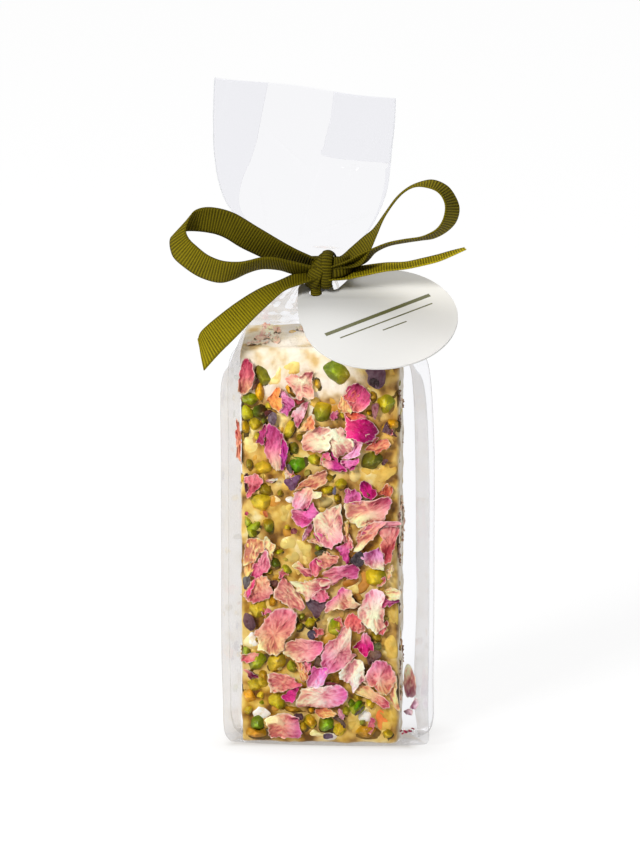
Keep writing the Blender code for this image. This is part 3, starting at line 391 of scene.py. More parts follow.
NUTS = (
    (1.5, 0, "50370a 87910a 8ca014", (-20.4, 118, -20.2, 119.7, -18.5, 119.7, -16.4, 118.2, -15.2, 116.3,
     -16, 114.6, -17.5, 113.7, -19, 114.6, -20, 116.3)),
    (0.9, -70, "d7aa28 e1b414", (-20.4, 115.4, -19.5, 116.1, -18.1, 113.5, -17.5, 110.5, -17.7, 108.8,
     -18.8, 108.8, -19.8, 110.7, -20.3, 112.4)),
    (1.4, -90, "829b0a 96aa0f", (-25.1, 110.2, -23.2, 111.1, -21.1, 111.5, -19.6, 110.5, -19.4, 109,
     -20.6, 107.7, -22.8, 107.2, -24, 108)),
    (1, -60, "c3cd32 a5af28", (-25, 108.2, -23.4, 107.2, -21.5, 105.9, -21.1, 104, -21.5, 102.7, -23.6,
     102.9, -24.9, 103.5)),
    (1, 0, "5f8228 32280a 462d0f", (-20.6, 107.2, -19, 108.1, -17.3, 107.7, -16.4, 106, -16.9, 104.3,
     -18.5, 103, -20.2, 102.7, -20.9, 104.7)),
    (0.6, -90, "6e8250 7d913c", (-18.5, 102.8, -16.9, 103.6, -16.9, 102.1, -18.1, 101.3)),
    (0.8, -60, "d2d282 bebe64", (-17.3, 108.6, -16, 108.8, -14.8, 106.7, -15.6, 105.8, -16.9, 106.4)),
    (1.1, -90, "b49b14 c8af19", (-24.2, 102.5, -23, 102.7, -22.2, 101.2, -22.2, 99.3, -23.2, 98, -24,
     98.2, -24.4, 100.3)),
    (1.4, -60, "d2c864 bebe50", (-11.4, 97.5, -10.8, 100.9, -9.3, 103.1, -8.2, 102.5, -8.2, 100.1, -9.3,
     98, -10.5, 97.1)),
    (0.8, -60, "cda53c b4911e", (-11.2, 113.6, -9.9, 114.5, -9.5, 112.1, -8, 111.3, -8.4, 110.2, -9.7,
     110.8)),
    (0.8, -90, "d2d278 c8c864", (-20.6, 97.6, -19.8, 99.3, -19, 98.2, -19.1, 96.3, -20.4, 96.1)),
    (0.9, -90, "be9b2d b4a046", (-2.3, 116.5, -0.9, 116.1, -0, 113.8, -0.7, 112.5, -1.7, 113.5)),
    (0.8, -90, "968c32 828232", (-8, 96.7, -6.8, 98.9, -5.1, 99.1, -5.5, 96.9, -6.8, 96.1)),
    (1.8, -20, "6e960a 789105 a5960f", (0.9, 120, 2.6, 121.5, 4.3, 121.9, 6.2, 121.2, 8.1, 120.1, 8.4,
     116.7, 7.9, 113.9, 6, 114.1, 4.5, 115.6, 2.6, 116.4, 1.4, 118.3)),
    (1.6, -90, "c8b414 91a01e 6e8c32", (-3.3, 107.1, -0.9, 108.4, 2, 108, 4.1, 106.7, 2.6, 103.9, -0.1,
     102.6, -1.6, 103.9)),
    (1.3, 0, "c8b419 b4b928 8caf32", (17.4, 109.5, 20.1, 111.1, 22.4, 112, 22.8, 108.5, 21.6, 105.1,
     20.5, 105.5, 19.7, 107.4, 18, 107.8)),
    (0.9, -60, "dcb91e dcc83c", (13.4, 106, 15, 106.9, 15.9, 104.6, 14.6, 105)),
    (0.7, -90, "a0821e aa8c28", (15.3, 112.7, 16.7, 112.1, 17, 109.5, 15.3, 107.8, 15.3, 110.3)),
    (1.1, -90, "cd9b19 e1b92d", (20.5, 104, 23.5, 103.2, 23.5, 100.4, 21.4, 101.2)),
    (0.8, -90, "b4aa32 9b9b32", (5.8, 105.9, 7.7, 105.9, 7.7, 104, 6.6, 103.4, 5.6, 104.4)),
    (1, 0, "8c871e 7d782d", (-22.9, 91.1, -21.3, 90.2, -21.1, 88.5, -21.9, 86.6, -23, 87.2)),
    (1.6, -80, "e1d26e c8b43c", (-20.6, 89.8, -18.5, 90.7, -16, 89.9, -15, 87.7, -16.2, 85.6, -18.1,
     85.3, -19.6, 86.6, -20.4, 88.3)),
    (1.2, -90, "a0961e 82780f", (-19.2, 81.2, -18.1, 83, -16, 82.4, -15.2, 80.4, -15.6, 79.4, -19, 79.3)),
    (1.3, -60, "bebe50 dcc85a", (-22.1, 78.6, -20.4, 79.1, -16.4, 79.1, -15.6, 77, -16, 75.9, -18.1,
     74.4, -20, 75.4, -21.9, 77.5)),
    (1.8, 0, "3c6414 5faa0f 87be1e", (-10.3, 89.1, -9.1, 90.8, -7.2, 91.9, -5.3, 92, -4, 90.7, -4.9,
     88.7, -6.8, 86.4, -8.4, 86.8, -9.9, 87.4)),
    (1.1, -40, "827828 46640f", (-10.1, 95.5, -8.4, 96.2, -7.4, 95.1, -6.8, 93.9, -7.4, 92.4, -9.1, 91.7,
     -10.1, 92.3)),
    (1.1, -20, "a0b937 d2be50", (-4.2, 91.3, -2.1, 92.4, -0, 91, 0.2, 88.8, -2.5, 89.2, -3.8, 89.8)),
    (0.6, 20, "c8b932 aaaa1e", (-10.5, 84.8, -9.1, 85.7, -7.2, 86.6, -7.2, 85.7, -9.1, 84.8, -10.3,
     84.4)),
    (0.9, -90, "d2d27d b9be5a", (-11.6, 69.3, -10.5, 69.9, -9.5, 69.4, -9.7, 68.3, -11, 68.3)),
    (0.8, -90, "8c8c1e a0963c", (-13.6, 80.5, -12.6, 81.8, -11.8, 80.1, -12.2, 77.9, -12.9, 78.8)),
    (1, -60, "a5c346 82a02d", (-23.4, 68.3, -22.3, 69.6, -20, 70.7, -17.9, 70.3, -19.2, 68.6, -21.1,
     67.9)),
    (1.4, -60, "a5b937 96af32", (-23.4, 68, -22.3, 68.9, -20, 68.5, -19.4, 67.7, -20.2, 65.9, -22.8, 66)),
    (1.3, -60, "c8a51e 82912d 507d1e", (-17.7, 71.4, -15.6, 72.1, -14.8, 70.4, -15, 67.6, -16.4, 67.1,
     -17.5, 69.2)),
    (0.7, -90, "bed26e a0c350", (-23.6, 72.4, -22.3, 71.7, -21.5, 70.3, -23.4, 68.9)),
    (1.6, -30, "4b4b0f 6e7814 506414", (13.4, 93.5, 15.3, 93.6, 16.7, 92.5, 18.4, 92.5, 19.7, 91.5, 18.4,
     90.4, 16.3, 88.2, 14.6, 87.3, 12.1, 87.1, 12.9, 89.4)),
    (1.4, -90, "b9be19 a08c1e", (4.3, 83.7, 5.8, 84.6, 7.7, 84.6, 8.1, 83.4, 7.1, 81.6, 5.6, 81.2, 4.5,
     82.4)),
    (1.1, 0, "c3b937 aaaa28", (-0.3, 81.7, 1.6, 82, 3.9, 83.1, 3.7, 80.9, 2, 79.6, 0.3, 79.6)),
    (0.9, -60, "6e6428 a0962d", (1.2, 83.7, 1.8, 85.8, 3.5, 86.7, 4.1, 85.9, 3.1, 83.9, 1.6, 83)),
    (0.7, -90, "c8be3c aa9b28", (3.9, 79.6, 5.2, 80.3, 5.9, 78.2, 5.2, 76.9, 4.1, 77.9)),
    (1.8, -10, "e1d75a c8be28 8cb40f", (14.4, 56.8, 16.3, 56.8, 19.5, 56.1, 20.5, 53.9, 20.1, 51.9, 18,
     50.8, 15.9, 51.7, 14.6, 52.3, 14.2, 54.8)),
    (0.9, -90, "a5c32d 5f731e", (-2.2, 63.2, -0.5, 63.6, 1.2, 63, -0.1, 61.9, -1.8, 61.9)),
    (1.3, -80, "78af0f c8b93c", (2.4, 39.4, 3.7, 40.5, 5.4, 39.9, 6.4, 38.2, 5.4, 36.3, 3.3, 36.4, 2.4,
     37.7)),
    (0.9, 0, "9baa1e c3cd32", (-14.3, 60.9, -13.9, 61.9, -12.2, 62.2, -11.4, 61.6, -12.9, 60.5)),
    (1.3, -80, "4b5014 55821e", (-15.4, 57.4, -14.8, 59.6, -13.7, 60, -12.6, 58.3, -12.6, 56.6, -14.3,
     56.1)),
    (1.3, -50, "afb43c 6e9b19", (-12.6, 56.4, -11.2, 57.5, -9.9, 56.6, -8.8, 54.7, -9.9, 53.6, -11.2,
     55.3)),
    (0.8, -90, "a09b28 b4aa46", (-16.9, 54.8, -15.6, 55.9, -14.5, 55.5, -14.8, 54.4, -16.4, 54.2)),
    (0.7, -90, "c3c35a aaaf50", (-13.9, 53.1, -12.6, 53.8, -12, 53.2, -13.1, 52.5)),
    (1.5, -60, "d7c864 b4af46", (-22.9, 42.7, -21.5, 44.4, -19, 46, -17.3, 45.8, -16.2, 44.3, -16.4,
     42.4, -18.1, 40.8, -19.8, 40.8, -21.9, 42.1)),
    (1.1, -80, "b48c1e cda532", (-16.4, 45.6, -15.6, 47.7, -14.3, 48.4, -13.9, 45.6, -14.8, 43.7, -15.8,
     44.3)),
    (1.4, -60, "b9be37 c8be50", (-5.3, 38.6, -3.9, 40.9, -2.5, 40.6, -1.8, 39.2, -2.5, 37.5, -4.2, 37.5)),
    (1, -60, "a0a03c aaaa46", (-8, 38, -6.6, 39.1, -5.4, 38.3, -6.1, 36.6, -7.5, 36.6)),
    (0.9, -60, "a0a532 c8c341", (-3.1, 40.9, -0.8, 41.2, -0.7, 40.1, -1.9, 39.8)),
    (0.8, -80, "82963c 96a046", (-7.2, 41.4, -5.3, 42, -4.4, 40.6, -6.4, 39.7)),
    (1.1, -90, "a0be4b 7d9b32", (-24.8, 31.3, -23, 30.7, -22.1, 29.9, -22.1, 27.6, -23.5, 26.5, -24.3,
     28.4)),
    (1.7, -30, "b9c846 7da01e", (-22.4, 27.1, -20.5, 29.1, -18, 29.1, -16.6, 28.6, -17.2, 26.6, -19.1,
     24.3, -21.3, 23.8, -22.3, 25.4)),
    (1.5, -30, "d7cd6e b9a03c", (-17.2, 25.4, -15.8, 27.7, -13.6, 28.6, -11.1, 29.2, -10, 27.5, -11.9,
     24.7, -13.6, 23.8, -16, 24)),
    (1.2, -60, "a0aa46 6e8228", (-10.8, 25.5, -9.7, 27.5, -8, 26.1, -7.3, 23.9, -8.3, 22.5, -9.7, 23.3)),
    (1.3, -60, "d2cd64 b4a532", (-23.2, 19.7, -21.6, 20.9, -18.8, 20.6, -18.4, 18.7, -20.2, 17.2, -22.1,
     17.2)),
    (0.8, -80, "b4962d a5871e", (-19.4, 22.9, -18, 24, -16.9, 22.9, -16.9, 20.7, -18.5, 20.3)),
    (1.2, -60, "f0be50 dc9b28", (-24.3, 18.6, -23.2, 18.9, -21.6, 17.2, -20.2, 14.4, -20.5, 12.7, -22.1,
     12.5, -23.8, 15.2)),
    (1.1, -60, "e6dc82 d7cd5a", (-20.2, 16.1, -18.5, 17.2, -17.2, 16.1, -18, 14.4, -19.8, 14.5)),
    (0.8, -20, "a0b941 739b28", (-19.5, 13.8, -17.7, 14.3, -17.3, 13, -19.1, 12.9)),
    (1.7, -60, "e6e18c c8c83c aabe32", (-16.3, 15.3, -14.7, 16.5, -12.5, 16.2, -11.9, 14.2, -11.2, 12.8,
     -12.5, 11.4, -14.4, 11.5, -15.9, 12.8)),
    (1, 30, "aa9b2d beb446", (-24.3, 9.8, -23.2, 12.1, -20.9, 12.4, -21.3, 10.7, -23.2, 9)),
    (1.6, -40, "82aa37 5a8219", (-22.1, 6.2, -20.7, 9, -19.1, 9.6, -17.4, 8.2, -17.2, 6, -18.8, 5, -21,
     5.4)),
    (1.1, 0, "dcaf37 be8c1e c8aa32", (-24.9, 4.2, -23, 5.6, -21, 5.1, -19.1, 4.5, -16.9, 5.7, -16.3, 4.3,
     -17.2, 2.6, -20.5, 2.6, -23, 2.8)),
    (1.3, -90, "e6c846 c89b28", (-5.3, 8.4, -3.3, 9.9, -1.8, 8.5, -2.2, 6.5, -4.2, 5.8)),
    (1.1, -90, "a5962d c8b450", (-6.8, 7, -5.3, 8.1, -4.2, 5.6, -5.3, 3.8, -6.6, 5)),
    (0.6, 0, "9b781e b4962d", (-11.1, 12.3, -8, 12.2, -5.3, 11.2, -8, 10.6, -10.8, 11.2)),
    (0.8, 0, "d7b43c cdaa32", (-4.4, 11.5, -2.5, 12.1, -1.7, 11, -3.6, 10.4)),
    (1.5, -20, "a5c83c 5fa50f 4b7d14", (9.8, 13.2, 11.2, 14.6, 13.4, 14.6, 12.4, 12.6, 10.9, 10.9, 9.5,
     11.7)),
    (1.1, -90, "5f8719 7da03c", (7.9, 13.4, 9.5, 15.4, 11.2, 14.6, 9.8, 13.2, 8.4, 12.3)),
    (1.2, -60, "b4b950 a5aa46", (6.5, 11.1, 7.6, 13.1, 9, 12.3, 9.1, 10.3, 7.9, 9.2)),
    (1.3, -60, "e6dc64 c8b950", (13.7, 14.9, 15.1, 15.5, 17, 13.5, 15.9, 11.7, 14.5, 12.9)),
    (1.2, -60, "aaa01e d7c83c", (18.9, 4.3, 20.9, 5.7, 22.3, 5.2, 21.7, 2.9, 19.5, 2.6)),
    (1, 0, "c8a52d aa8219 be962d", (10.4, 4.4, 12, 6.1, 14, 6.4, 16.7, 5.9, 18.4, 4.3, 16.4, 3.1, 12.3,
     3)),
    (1.6, -20, "785f1e 82be1e 5f9119", (-0.7, 7.4, 0.4, 9.3, 2.6, 9.4, 4, 7.4, 3.7, 5.2, 2.1, 4.6, -0.1,
     5.1)),
    (1.3, 0, "dcc332 f5dc6e", (3.7, 4, 4.3, 6.3, 5.9, 7.2, 7.3, 6.6, 7.3, 4.4, 5.4, 3.4)),
    (1, -60, "91821e c8b43c", (9, 15.7, 11.2, 17.1, 13.7, 16, 12.9, 14.9, 10.6, 14.9)),
    (1.2, -40, "8c8228 aa9b32", (15.1, 36.1, 16.7, 36.4, 18.7, 35.8, 18.4, 33.6, 16.4, 33.8)),
)
SKINS = (
    (1.3, -90, "7d6473 5a4150", (13.8, 119.3, 16.7, 119.6, 19.7, 119.4, 19.7, 115.1, 18, 113.6, 16.3,
     113.8, 14.4, 115.5, 14.6, 117.6)),
    (1.5, -90, "1e0505 280505", (14.6, 115.5, 15.9, 116.8, 17.8, 116, 17.6, 113.8, 16.3, 114)),
    (1, -60, "825055 a06e6e", (15.7, 108.2, 17.6, 108.9, 17.7, 107.2, 16.9, 103.9, 15.9, 105.6)),
    (1, -40, "462d37 6e4141", (19, 100.1, 20.3, 103.1, 21.2, 101, 23.5, 98.4, 21.2, 99.2)),
    (1.1, -60, "73646e 503c4b", (-16, 104.5, -14.8, 105.8, -13.7, 105.2, -13.5, 103.3, -14.5, 101.3,
     -15.6, 101.9, -16.2, 103.4)),
    (0.7, -60, "5f1e14 461e14", (-17.3, 105.6, -15.6, 106.2, -14.8, 105.6, -16, 104.5, -17.1, 104.3)),
    (0.7, -60, "4b2305 5f320a", (-20.2, 115, -19, 116.3, -19, 114.6, -20.4, 112.8, -21.3, 112.8)),
    (0.6, 0, "960f0a 6e1e14", (-8.4, 109.5, -7.2, 109.8, -5.1, 109.6, -5.3, 108.8, -7.2, 108.3)),
    (0.7, -90, "5a323c 6e4646", (-23.4, 85.5, -22.5, 85.9, -22.9, 83.3, -22.5, 81, -23.1, 80.5)),
    (1, 0, "4b3c3c 5f5050", (-10.5, 89.1, -9.5, 89.3, -8.9, 87.4, -8.9, 86.5, -9.9, 87.2)),
    (1.3, -60, "6e466e 5a3250", (-11.2, 84.4, -9.1, 85.1, -7.2, 86.1, -6.1, 85.7, -7, 83.8, -7.8, 82,
     -9.1, 81.2, -10.1, 82.2)),
    (0.9, -60, "78323c 8c4b4b", (-9.1, 68.7, -8.2, 69.2, -7.2, 68.5, -7.8, 67.5, -8.9, 67.6)),
    (0.7, -60, "aa2d55 b43c64", (-23.5, 73.7, -22.9, 74.2, -22.3, 73.6, -22.9, 73)),
    (0.7, -60, "a0501e b4642d", (-18, 74, -16.9, 74.6, -16.2, 73.3, -16.6, 72.5)),
    (1, 0, "5a3c3c 6e5050", (18.8, 90, 19.5, 91.3, 20.7, 91.3, 19.8, 89.8, 19, 89.3)),
    (1.1, -90, "505564 646478", (3.6, 80.5, 4.3, 82.7, 4.9, 81.4, 4.5, 80)),
    (0.9, -30, "6e5023 505014", (12.5, 80, 14.2, 80.9, 15.3, 79.4, 14.8, 78.3, 12.7, 78.3)),
    (1.4, -60, "232328 3c3237", (9.8, 60.6, 10.8, 61.7, 12.1, 62.5, 13.2, 61.5, 13.4, 58.7, 12.1, 57.4,
     10.4, 58, 9.2, 59.1)),
    (1, -90, "3c3c1e 50501e", (-1.8, 61.9, -0.1, 62.3, 1.6, 62.4, 1.2, 61.1, -1.4, 60.8)),
    (1.1, -60, "646464 4b3c41", (-24, 53.4, -22.1, 53.9, -21.7, 52.8, -22.3, 50.9, -23.4, 49.4, -23.9,
     50.8)),
    (1.1, -60, "5a3223 6e4132", (-15.6, 52.3, -13.9, 52.7, -13.1, 52.1, -13.9, 50.4, -15, 51.2)),
    (1.3, -30, "413241 5f3c46", (-4.7, 45.8, -2.5, 46.8, -0.4, 45.8, 1.5, 46.3, 1.7, 44.8, 0.2, 42.8,
     -0.9, 40.9, -2.1, 41.5, -3, 43.2)),
    (1.3, -40, "644146 4b2d37", (-24, 39.9, -23.4, 42.3, -21.7, 41.9, -20.6, 40.2, -20.1, 38, -21.1,
     36.7, -22.5, 37.3, -23.6, 38.4)),
    (1.1, -60, "373246 4b3c50", (-4.2, 35.8, -3.1, 37.2, -1.7, 36.7, -1.4, 35, -2.8, 34.1)),
    (0.9, -60, "5f4632 6e5a3c", (-2.1, 25.7, -1.2, 28.8, -0.1, 28, -0.1, 25.7)),
    (1.3, -40, "7d5f3c 503237", (14.5, 30.4, 16.4, 31.3, 18.4, 30.8, 18.7, 29.1, 16.7, 27.6, 15.1, 26.5,
     14.2, 28.4)),
    (0.9, -40, "505523 646432", (16.4, 32.7, 18.4, 33.6, 18.7, 31.3, 16.7, 31.3)),
    (0.8, 0, "50282d 3c1423", (-8.3, 10.1, -5.8, 10.4, -5.8, 8.4, -7.5, 8.5)),
    (1, -40, "645032 4b3232", (3.9, 9.7, 5.7, 9.4, 7.6, 7.8, 7.6, 6.1, 6.9, 6.8, 5.7, 8, 4, 8.8)),
    (0.8, 0, "463246 553c5a", (1, 4, 3.5, 4.2, 3.7, 2.9, 1.2, 2.5)),
    (0.9, -40, "463c32 5f5046", (13.4, 13.3, 12.9, 12.1, 12, 10.9, 10.6, 10.2, 10.9, 10.9, 12.4, 12.3)),
    (0.7, 0, "6e2d37 822d3c", (0.4, 19.8, 2.9, 20.7, 5.9, 19.9, 2.9, 19.3)),
)
LUMPS = (
    (1, "ebdcaa e1cd91", (-12, 120.2, -9.5, 121.4, -6.1, 121.2, -6.1, 118.6, -6.8, 117.3, -9.5, 116.7,
     -11.2, 117.3)),
    (0.9, "f5ebd2 ebdcb9", (-17.3, 114.6, -12.6, 119.8, -11.8, 116.4, -12.6, 114.2, -15.6, 112.9)),
    (1, "f5ebcd ebe1a5", (-24.2, 97.3, -21.1, 97.5, -19, 94.5, -20, 92.2, -22.1, 91.3, -23.2, 92.8, -24,
     94.9)),
    (1, "dcc887 d2be7d", (-14.8, 75.7, -11.6, 77.5, -9.3, 76, -9.1, 72.6, -10.5, 70.2, -13.1, 69.9,
     -14.8, 71.6)),
    (1.5, "e6d7a0 d7c88c", (-13.5, 64.3, -11, 66.3, -8.4, 66.7, -7.6, 64, -8.4, 61.8, -10.5, 61.6, -12.6,
     62.2)),
    (1.3, "dccd96 d2be82", (-11.8, 60.5, -8.4, 61.8, -6.3, 61, -6.5, 58.4, -9.3, 57.5, -11.2, 58.3)),
    (1.2, "e1d296 d7c382", (-7.8, 65.5, -3.2, 64.9, -2.1, 63, -2.5, 60.2, -5.1, 58.9, -6.8, 61.2, -7.6,
     63.3)),
    (1, "e1cd8c cdb478", (-8.4, 57.1, -6.8, 57.5, -5.1, 55.4, -5.3, 53.5, -7.2, 53.5, -8.2, 54.9)),
    (1, "e1b95a dcc382", (12.9, 86.9, 16.3, 87.8, 19.5, 89.8, 22, 91.3, 23.7, 87.9, 22.2, 84.9, 19.5,
     83.5, 16.3, 83.3, 14.2, 84.7)),
    (1.3, "f0e1be d7c396", (8.3, 86.8, 10.8, 89, 12.1, 87.7, 13.4, 85.2, 11.3, 83.2, 9.2, 83.8)),
    (1, "cdc3a5 b9a578", (-0.3, 78.9, 2.2, 79.6, 3.9, 77.9, 3.1, 76, 0.5, 75.1, -0.7, 77)),
    (1, "e1be7d d7b46e", (16.9, 99, 18.6, 99.7, 21.2, 98.8, 23, 97.8, 22.6, 95.4, 18.4, 95.4, 16.3,
     96.6)),
    (0.6, "be873c aa7332", (7.9, 53.7, 10.8, 54.4, 12.1, 52.9, 10.4, 50.9, 7.9, 50.2, 5.8, 51.3)),
    (0.8, "c8914b be8741", (12.1, 55.9, 14.2, 57, 14.6, 52.3, 15.3, 50.8, 12.1, 48.2, 10.8, 50.3, 12.5,
     52.9)),
    (0.6, "be8746 c8a055", (10, 49.2, 12.1, 48.2, 12.9, 46.5, 11.3, 46.2, 10, 47.7)),
    (0.9, "ebcd7d dcbe6e", (18.9, 34.7, 22.3, 35.9, 23.6, 32.5, 23.6, 28.3, 21.1, 27.7, 19.2, 30.5)),
    (1, "dcc887 d7be6e", (7.9, 8.3, 10.6, 10.3, 13.1, 9.5, 14, 7, 11.2, 5.8, 8.4, 4.4)),
    (0.8, "e1c878 d7be73", (19.5, 44.2, 21.8, 45.3, 23.7, 45.1, 23.7, 38.7, 20.9, 39.1, 19.7, 40.8)),
    (0.7, "d7a569 c89155", (-14.3, 46.9, -11.4, 46.1, -9.7, 44.4, -11.4, 43.7, -13.9, 43.9)),
    (0.9, "d7be8c cdaa6e", (4.5, 43.5, 7.5, 43.8, 7.5, 41, 6.4, 40.1, 4.9, 41.8)),
    (0.9, "d7c38c cdb482", (0.6, 42.6, 2.7, 43.9, 3.6, 41.8, 2.5, 38.8, -0, 37, -0.4, 40)),
    (0.9, "c3aa82 b4966e", (-1, 40.6, 2.1, 41, 2.1, 38.1, 1, 35.6, -0.4, 35.3, -1.5, 38.1)),
    (0.8, "f0e1d2 ebd7c8", (-15, 78.9, -13.7, 79.2, -11.8, 77.3, -13.9, 76.2, -15, 77)),
    (0.9, "faf5eb f5ebe1", (-24.3, 33.2, -22.4, 35.5, -20.7, 34.4, -19.9, 31.9, -21.9, 30.7, -24.1,
     31.5)),
    (0.8, "f5f0e1 fafae6", (-20.5, 12.1, -19.1, 12.6, -15.5, 10.5, -16.9, 8.5, -19.1, 9.9, -21.3, 9.3,
     -22.4, 8.7)),
    (1, "f5ebdc ebdcc3", (12.9, 12.9, 14.5, 12.7, 15.6, 10.4, 15.9, 8.7, 14, 7.6, 12.9, 9.8)),
    (0.8, "faf5e6 f5ebdc", (-2.6, 5.2, -1, 4.5, 1, 3.4, -0.1, 2.6, -2.6, 2.8, -4.3, 3.6)),
    (1, "eb7841 e6965a", (16.4, 11.8, 17.8, 13.3, 20, 11.9, 21.1, 9.4, 21.7, 6.6, 20, 4.8, 18.1, 5.1,
     16.7, 8.5)),
    (0.6, "f5e6c8 ebd7aa", (-14.3, 105.6, -12.2, 105.6, -9.3, 104.2, -10.5, 101.4, -11.8, 97.9, -12.9,
     100.5, -13.9, 103)),
    (0.6, "f5ebd7 ebe1be", (-22.3, 102.1, -20, 102.5, -18.8, 100.6, -20, 98.9, -21.1, 96.7, -22.5, 97.6)),
)


class Wire:
    """A number, colour or vector on its way through a material, so that maths reads plainly."""

    def __init__(self, finish, socket):
        self.finish = finish
        self.socket = socket

    def maths(self, operation, *values):
        """This wire, then the values, through one Math node."""
        return self.finish.maths(operation, self, *values)

    def __add__(self, other):
        return self.maths("ADD", other)

    def __mul__(self, other):
        return self.maths("MULTIPLY", other)

    def __sub__(self, other):
        return self.maths("SUBTRACT", other)

    def __rsub__(self, other):
        return self.finish.maths("SUBTRACT", other, self)

    def __pow__(self, other):
        return self.maths("POWER", other)

    def __truediv__(self, other):
        return self.maths("DIVIDE", other)

    def clipped(self):
        """The value kept between 0 and 1."""
        return self.finish.node("ShaderNodeClamp", {}, {"Value": self})

    def band(self, low, high):
        """0 below low, 1 above high and smooth between."""
        sockets = {"Value": self, "From Min": low, "From Max": high}
        return self.finish.node("ShaderNodeMapRange", {"interpolation_type": "SMOOTHSTEP"}, sockets)


class Finish:
    """One material and the nodes it is made of."""

    def __init__(self, name):
        self.material = bpy.data.materials.new(name)
        self.material.use_nodes = True
        self.tree = self.material.node_tree
        self.tree.nodes.clear()

    def node(self, kind, settings, sockets, output=0):
        """Add a node, set its settings, then its sockets, and return one output."""
        made = self.tree.nodes.new(kind)
        for key, value in settings.items():
            if key == "stops":
                self.set_stops(made.color_ramp, value)
            else:
                setattr(made, key, value)
        for key, value in sockets.items():
            if isinstance(value, Wire):
                self.tree.links.new(value.socket, made.inputs[key])
            else:
                made.inputs[key].default_value = value
        return Wire(self, made.outputs[output])

    def set_stops(self, ramp, stops):
        """Give a colour ramp its stops: place and colour code."""
        while len(ramp.elements) > 1:
            ramp.elements.remove(ramp.elements[-1])
        for index, (place, code) in enumerate(stops):
            stop = ramp.elements[0] if index == 0 else ramp.elements.new(place)
            stop.position = place
            stop.color = (*linear(code), 1.0)

    def maths(self, operation, *values):
        """Wires and numbers through one Math node."""
        return self.node("ShaderNodeMath", {"operation": operation}, dict(enumerate(values)))

    def place(self):
        """Object coordinates, in metres."""
        return self.node("ShaderNodeTexCoord", {}, {}, "Object")

    def chart(self):
        """The chart of the surface, in metres along a petal or a ribbon."""
        return self.node("ShaderNodeUVMap", {"uv_map": "UVMap"}, {})

    def attribute(self, name, output="Fac"):
        """A value painted on the mesh."""
        return self.node("ShaderNodeAttribute", {"attribute_name": name}, {}, output)

    def grain(self, vector, scale, detail=2.0, roughness=0.5):
        """Noise from 0 to 1."""
        sockets = {"Vector": vector, "Scale": scale, "Detail": detail, "Roughness": roughness}
        return self.node("ShaderNodeTexNoise", {}, sockets, "Fac")

    def ramp(self, value, *stops):
        """A colour for each value."""
        return self.node("ShaderNodeValToRGB", {"stops": stops}, {"Fac": value}, "Color")

    def mix(self, share, first, second, blend="MIX"):
        """Two colours mixed."""
        settings = {"data_type": "RGBA", "blend_type": blend}
        return self.node("ShaderNodeMix", settings, {0: share, 6: first, 7: second}, 2)

    def axes(self, vector):
        """The three parts of a vector."""
        split = self.node("ShaderNodeSeparateXYZ", {}, {"Vector": vector})
        return [Wire(self, socket) for socket in split.socket.node.outputs]

    def bump(self, height, distance, strength=1.0):
        """A normal from a height."""
        sockets = {"Height": height, "Distance": distance, "Strength": strength}
        return self.node("ShaderNodeBump", {}, sockets)

    def surface(self, **sockets):
        """A Principled surface. Socket names are given with underscores."""
        named = {key.replace("_", " "): value for key, value in sockets.items()}
        return self.node("ShaderNodeBsdfPrincipled", {}, named)

    def finished(self, shader=None, **sockets):
        """Join a shader, or a Principled surface with these sockets, to the output."""
        shader = shader or self.surface(**sockets)
        output = self.tree.nodes.new("ShaderNodeOutputMaterial")
        self.tree.links.new(shader.socket, output.inputs["Surface"])
        return self.material


def linear(code):
    """Scene colour of a hex colour code."""
    parts = [int(code[i:i + 2], 16) / 255 for i in (0, 2, 4)]
    return tuple(v / 12.92 if v <= 0.04045 else ((v + 0.055) / 1.055) ** 2.4 for v in parts)


def colour_run(codes, t):
    """The colour at t, from 0 to 1, along a run of colour codes."""
    stops = [linear(code) for code in codes.split()]
    place = min(max(t, 0.0), 1.0) * (len(stops) - 1)
    index = min(int(place), len(stops) - 2)
    share = place - index
    return [a + (b - a) * share for a, b in zip(stops[index], stops[index + 1])]


def smooth_stretch(before, start, end, after, steps):
    """Points on a smooth curve from start up to, but not on, end."""
    points = []
    for k in range(steps):
        t = k / steps
        bend = (2 * before - 5 * start + 4 * end - after) * t * t
        twist = (3 * start - before - 3 * end + after) * t * t * t
        points.append(start + ((end - before) * t + bend + twist) / 2)
    return points


def smooth_route(stations, steps):
    """Points on a smooth curve through the stations, with a few steps between each two."""
    stations = [Vector(station) for station in stations]
    padded = [stations[0]] + stations + [stations[-1]]
    route = []
    for i in range(len(stations) - 1):
        route += smooth_stretch(*padded[i:i + 4], steps)
    return route + [stations[-1]]


def smooth_loop(points, steps):
    """A smooth closed outline through 2D points, turning left as seen from the front."""
    corners = [Vector(point) for point in points]
    area = sum(a.x * b.y - b.x * a.y for a, b in zip(corners, corners[1:] + corners[:1]))
    if area < 0:
        corners.reverse()
    closed = [corners[-1]] + corners + corners[:2]
    outline = []
    for i in range(len(corners)):
        outline += smooth_stretch(*closed[i:i + 4], steps)
    return outline


def deselect():
    """Nothing selected and nothing active."""
    for item in bpy.context.selected_objects:
        item.select_set(False)
    bpy.context.view_layer.objects.active = None


def activate(item):
    """Make one object the selected and active one."""
    deselect()
    item.select_set(True)
    bpy.context.view_layer.objects.active = item


def link(item):
    """Put an object into the scene."""
    bpy.context.scene.collection.objects.link(item)
    return item


def flatten(item, angle):
    """Smooth shading, but with edges where faces turn by more than the angle in degrees."""
    activate(item)
    bpy.ops.object.shade_smooth_by_angle(angle=math.radians(angle))


